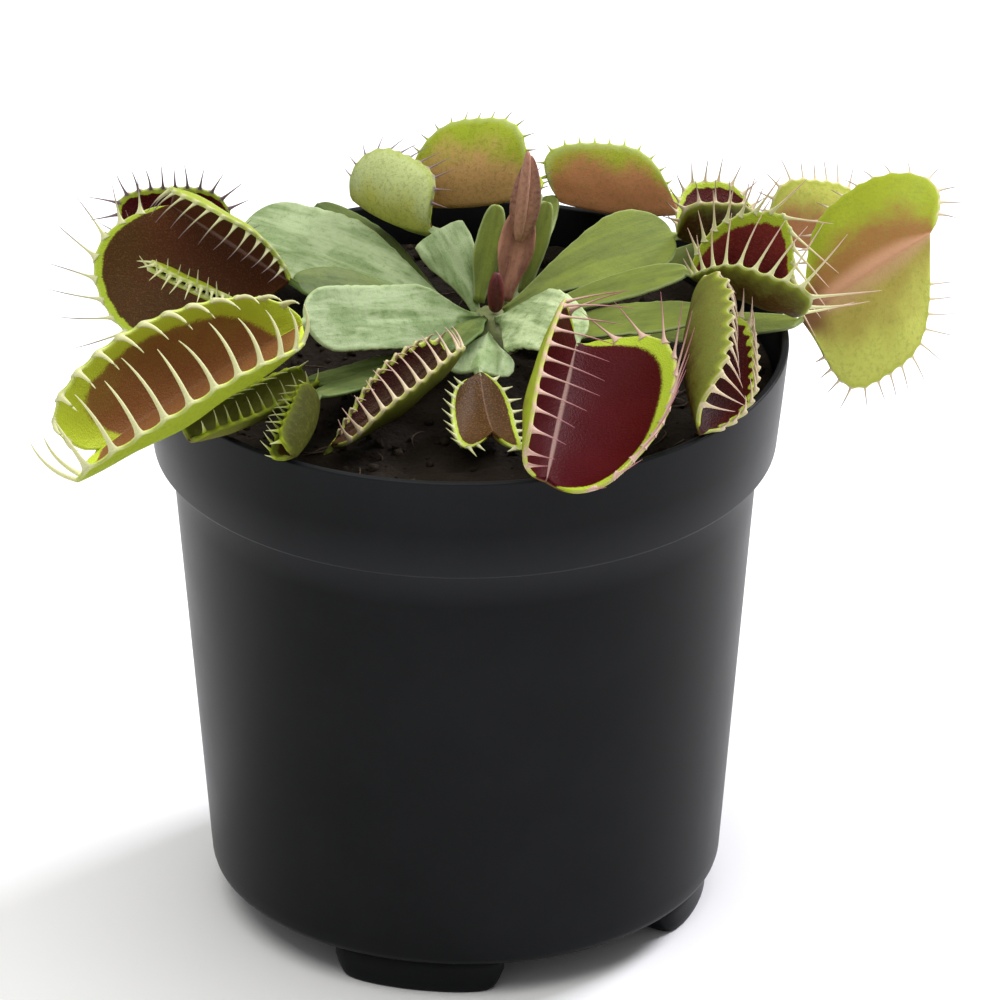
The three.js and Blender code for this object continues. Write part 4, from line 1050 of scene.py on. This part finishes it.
def trap_finish(name, look, tones):
    """A trap's skin: glandular inside, smooth back with a blush, pale margin and teeth, with painted
    highlights along the midrib and the keel and one lobe's back painted paler as lit.
    """
    f = Finish(name)

    def pick(key):
        """The trap's own tone for one of its uses."""
        return getattr(tones, look[key])

    rim, across, along, margin = f.point("rim"), f.point("across"), f.point("along"), f.point("margin")
    inner, comb, tooth = f.point("inner"), f.point("comb"), f.point("tooth")
    at = f.place()
    blotch = f.noise(0.22, 3, 0.6, at)
    grain = f.noise(1.5, 4, 0.7, at)
    fine = f.noise(4.5, 3, 0.6, at)
    glands = f.cells(3.6, at)
    within = f.mix(f.ease(0.6 * blotch + 0.6 * (1 - across), 0.4, 0.8), pick("inside"), pick("deep"))
    within = f.mix(f.ease(fine, 0.5, 0.66) * look["specks"] * 0.6, within, tones.amber)
    within = f.mix(f.ease(glands, 0.45, 0.12) * look["specks"] * 0.6, within, pick("deep"))
    # Painted highlight: a pale rose line along the midrib within
    within = f.mix(f.ease(across, 0.035, 0.01) * look["rib_highlight"], within, tones.rose)
    # The band's inner edge dissolves into specks
    fray = margin - 0.12 * comb + 0.5 * (fine - 0.5) + 0.3 * (grain - 0.5)
    within = f.mix(f.ease(fray, 1.15, 0.85), within, pick("edge"))
    cloudy = across + 0.6 * (blotch - 0.5) + 0.25 * (grain - 0.5)
    warm = f.ease(cloudy, look["warm"] + 0.25, look["warm"] - 0.25)
    back = f.mix(warm, pick("outside"), pick("blush"))
    # Painted light: one lobe's back is painted paler, as if lit through
    if look["painted_lit_side"]:
        lit = f.point("side") if look["painted_lit_side"] > 0 else 1 - f.point("side")
        back = f.mix(lit * abs(look["painted_lit_side"]), back, f.mix(warm * 0.5, tones.celery, pick("blush")))
    back = f.mix(f.ease(grain, 0.45, 0.7) * 0.3, back, tones.olive)
    back = f.mix(f.ease(fine + 0.3 * grain, 0.72, 0.8) * look["freckles"], back, tones.umber)
    back = f.mix(f.ease(rim, 1.4, 0.2) * 0.5, back, pick("outline"))
    # Painted highlight: a pale pink band along the keel outside
    back = f.mix(f.ease(across, 0.22, 0.05) * look["keel_highlight"], back, tones.blossom)
    back = f.mix(f.ease(along, 5.5, 1.5) * f.ease(across, 0.55, 0.2) * look["flush"], back, tones.brick)
    skin = f.mix(f.ease(inner, 0.4, 0.6), back, within)
    # A pale line along the margin spreads into the foot of each tooth
    web = f.ease(rim, 0.5, 0.1) * (0.3 + 0.7 * comb)
    skin = f.mix(web * 0.85, skin, pick("tooth"))
    teeth = f.mix(f.ease(tooth, 0.12, 0.85), pick("tooth"), pick("point"))
    root = f.ease(tooth, 0.0, 0.06)
    base = f.mix(root, skin, teeth)
    rough = f.mix(f.ease(inner, 0.4, 0.6), (0.5,) * 3, (look["gloss"],) * 3)
    height = 0.5 * grain + 0.35 * glands * inner + 0.2 * fine
    return f.cover(
        base, rough, f.bump(height * (1 - root), 0.16), (1.0, 0.8, 0.2), 0.1, Specular_IOR_Level=look["sheen"]
    )


def young_finish(name, body, dark):
    """Skin of the shut young trap and the bud."""
    f = Finish(name)
    ridge, slit = f.point("ridge"), f.point("slit")
    at = f.place()
    spots = f.noise(1.8, 4, 0.6, at)
    fine = f.noise(7.0, 2, 0.5, at)
    # Spots, and a tone along the two edges where the lobes meet; on the young trap this edge tone is painted
    # shade
    shade = f.ease(spots, 0.4, 0.7) * 0.45 + (1 - ridge) * 0.5 * f.ease(slit, 0.3, 0.9)
    base = f.mix(shade, body, dark)
    return f.cover(base, 0.5 + 0.1 * spots, f.bump(spots + 0.4 * fine, 0.12), (1.0, 0.5, 0.3))


class FLYTRAP_OT_pot(bpy.types.Operator):
    """Turns the pot and sets its feet under it"""

    bl_idname = "flytrap.pot"
    bl_label = "Pot"

    def execute(self, context):
        pot = context.scene.flytrap_pot
        pot_form(pot).piece("nursery_pot", plastic_finish(pot), "pot")
        return {"FINISHED"}


class FLYTRAP_OT_soil(bpy.types.Operator):
    """Fills the pot with peat"""

    bl_idname = "flytrap.soil"
    bl_label = "Soil"

    def execute(self, context):
        soil_form().piece("peat_filling", peat_finish(context.scene.flytrap_pot), "soil")
        return {"FINISHED"}


class FLYTRAP_OT_petioles(bpy.types.Operator):
    """Grows the crown and a winged petiole for each trap"""

    bl_idname = "flytrap.petioles"
    bl_label = "Crown and petioles"

    def execute(self, context):
        tones = context.scene.flytrap_leaves
        finishes = {
            "achq": petiole_finish("petiole_pale", tones.sage, tones.moss, tones.edge),
            # Painted light: the front petiole gets a paler copy of the pale finish
            "i": petiole_finish("petiole_front_painted_light", tones.frost, tones.moss, tones.edge),
            "jklmnop": petiole_finish("petiole_green", tones.grass, tones.fern, tones.edge),
            # Painted shade: a darker copy of the petiole finish for the petioles in shade at the left front
            "bdefg": petiole_finish("petiole_painted_shade", tones.fern, tones.shade, tones.moss),
        }
        bases = petiole_finish("leaf_bases", tones.bulb, tones.fern, tones.edge)
        crown_form().piece("leaf_base_crown", bases, "crown")
        for seed, (name, leaf) in enumerate(LEAVES.items()):
            node = "petiole_" + name
            finish = next(made for leaves, made in finishes.items() if name in leaves)
            petiole_form(PLAIN_LEAF | leaf, seed).piece("winged_" + node, finish, node)
        return {"FINISHED"}


class FLYTRAP_OT_shoots(bpy.types.Operator):
    """Grows the young leaf, its bud and the leaflets beside it"""

    bl_idname = "flytrap.shoots"
    bl_label = "Young leaf and leaflets"

    def execute(self, context):
        tones, reds = context.scene.flytrap_leaves, context.scene.flytrap_traps
        made = bpy.data.materials
        for node, shoot in SHOOTS.items():
            if node == "young_petiole":
                finish = petiole_finish("young_blade", tones.pink, tones.plum, tones.pink)
            else:
                # The rear blade r takes the darker finish with painted shade
                finish = made["petiole_painted_shade" if node == "petiole_r" else "petiole_green"]
            blade_form(**SHOOT_FORM, **shoot).piece("blade_" + node, finish, node)
        skin = young_finish("young_trap_skin", tones.pink, tones.plum)
        spindle_form((0.1, -1, 0.2), *YOUNG_TRAP).piece("folded_young_trap", skin, "young_trap")
        skin = young_finish("bud_skin", reds.burgundy, reds.crimson)
        spindle_form((0, -1, 0), BUD).piece("folded_bud", skin, "bud")
        return {"FINISHED"}


class FLYTRAP_OT_traps(bpy.types.Operator):
    """Grows the seventeen traps with their teeth"""

    bl_idname = "flytrap.traps"
    bl_label = "Traps"

    def execute(self, context):
        tones = context.scene.flytrap_traps
        for seed, (name, leaf) in enumerate(LEAVES.items()):
            look = PLAIN_TRAP | TRAP_LOOKS[name]
            form = trap_form(leaf, seed, look, tones.tooth_width)
            form.piece("toothed_trap_" + name, trap_finish("trap_skin_" + name, look, tones), "trap_" + name)
        return {"FINISHED"}


class FLYTRAP_OT_stage(bpy.types.Operator):
    """Lays the floor and sets the lights and the camera"""

    bl_idname = "flytrap.stage"
    bl_label = "Floor, lights and camera"

    def execute(self, context):
        stage = context.scene.flytrap_stage
        lay_floor(stage)
        set_lights(context.scene, stage)
        set_camera(context.scene, stage)
        return {"FINISHED"}


def lay_floor(stage):
    """A round pale floor that rises far out."""
    rings, segments = 40, 96
    share = np.linspace(0.002, 1, rings)
    points = turned_rings(np.stack([share * stage.floor_radius, 0.5 * ease(share, 0.7, 1)], -1), segments)
    mesh = bpy.data.meshes.new("studio_floor")
    mesh.from_pydata(points.reshape(-1, 3).tolist(), [], net(rings, segments) + [list(range(segments))])
    mesh.polygons.foreach_set("use_smooth", [True] * len(mesh.polygons))
    f = Finish("studio_floor")
    at = f.node("TexCoord", output=3)
    base = f.mix(f.noise(3, 2, 0.5, at), stage.floor_colour, [0.985 * c for c in stage.floor_colour])
    mesh.materials.append(f.cover(base, 0.9, Specular_IOR_Level=0.1))
    floor = bpy.data.objects.new("studio_floor", mesh)
    bpy.context.scene.collection.objects.link(floor)


def set_lights(scene, stage):
    """An even pale sky, a large light overhead and one at the right."""
    world = bpy.data.worlds.new("studio_sky")
    world.use_nodes = True
    sky = world.node_tree.nodes["Background"]
    sky.inputs["Color"].default_value = (1, 1, 1, 1)
    sky.inputs["Strength"].default_value = stage.sky
    scene.world = world
    aim = Vector((0, 0, 0.07))
    rig = {
        "overhead_softbox": ((-0.12, -0.1, 1.3), (1.5, 1.5), stage.key, (1, 0.99, 0.97)),
        "right_lamp": ((0.85, 0.65, 0.85), (0.4, 0.4), stage.side, (0.92, 0.92, 1.0)),
    }
    for name, (spot, size, power, tone) in rig.items():
        lamp = bpy.data.lights.new(name, "AREA")
        lamp.shape = "RECTANGLE"
        lamp.size, lamp.size_y = size
        lamp.energy = power
        lamp.color = tone
        made = bpy.data.objects.new(name, lamp)
        made.location = spot
        made.rotation_euler = (aim - Vector(spot)).to_track_quat("-Z", "Y").to_euler()
        scene.collection.objects.link(made)
    scene.view_settings.view_transform = "Standard"
    scene.view_settings.look = "None"


def set_camera(scene, stage):
    """The camera of the photograph: level, from the front and above."""
    lens = bpy.data.cameras.new("camera")
    lens.sensor_width = 36
    lens.lens = 385.45
    down = stage.camera_height
    aim = Vector((-1.04, 11.77, 57.9)) * MM
    made = bpy.data.objects.new("camera", lens)
    made.location = aim + stage.camera_distance * Vector((0, -math.cos(down), math.sin(down)))
    made.rotation_euler = (math.pi / 2 - down, 0, 0)
    scene.collection.objects.link(made)
    scene.camera = made


class FLYTRAP_PT_panel(bpy.types.Panel):
    """Lists the steps that build the plant"""

    bl_label = "Venus flytrap"
    bl_idname = "FLYTRAP_PT_panel"
    bl_space_type = "VIEW_3D"
    bl_region_type = "UI"
    bl_category = "Flytrap"

    def draw(self, context):
        for group in GROUPS:
            settings = getattr(context.scene, group)
            box = self.layout.box()
            for key in settings.bl_rna.properties.keys():
                if key not in ("rna_type", "name"):
                    box.prop(settings, key)
        for operator in OPERATORS:
            self.layout.operator(operator.bl_idname)


GROUPS = {
    "flytrap_pot": FLYTRAP_PG_pot,
    "flytrap_leaves": FLYTRAP_PG_leaves,
    "flytrap_traps": FLYTRAP_PG_traps,
    "flytrap_stage": FLYTRAP_PG_stage,
}
OPERATORS = (
    FLYTRAP_OT_stage,
    FLYTRAP_OT_pot,
    FLYTRAP_OT_soil,
    FLYTRAP_OT_petioles,
    FLYTRAP_OT_shoots,
    FLYTRAP_OT_traps,
)


def register():
    for cls in (*GROUPS.values(), *OPERATORS, FLYTRAP_PT_panel):
        bpy.utils.register_class(cls)
    for name, cls in GROUPS.items():
        setattr(bpy.types.Scene, name, bpy.props.PointerProperty(type=cls))


def unregister():
    for name in GROUPS:
        delattr(bpy.types.Scene, name)
    for cls in (FLYTRAP_PT_panel, *reversed(OPERATORS), *reversed(GROUPS.values())):
        bpy.utils.unregister_class(cls)


def main():
    """Builds everything."""
    register()
    for operator in OPERATORS:
        group, name = operator.bl_idname.split(".")
        getattr(getattr(bpy.ops, group), name)()


if __name__ == "__main__":
    main()
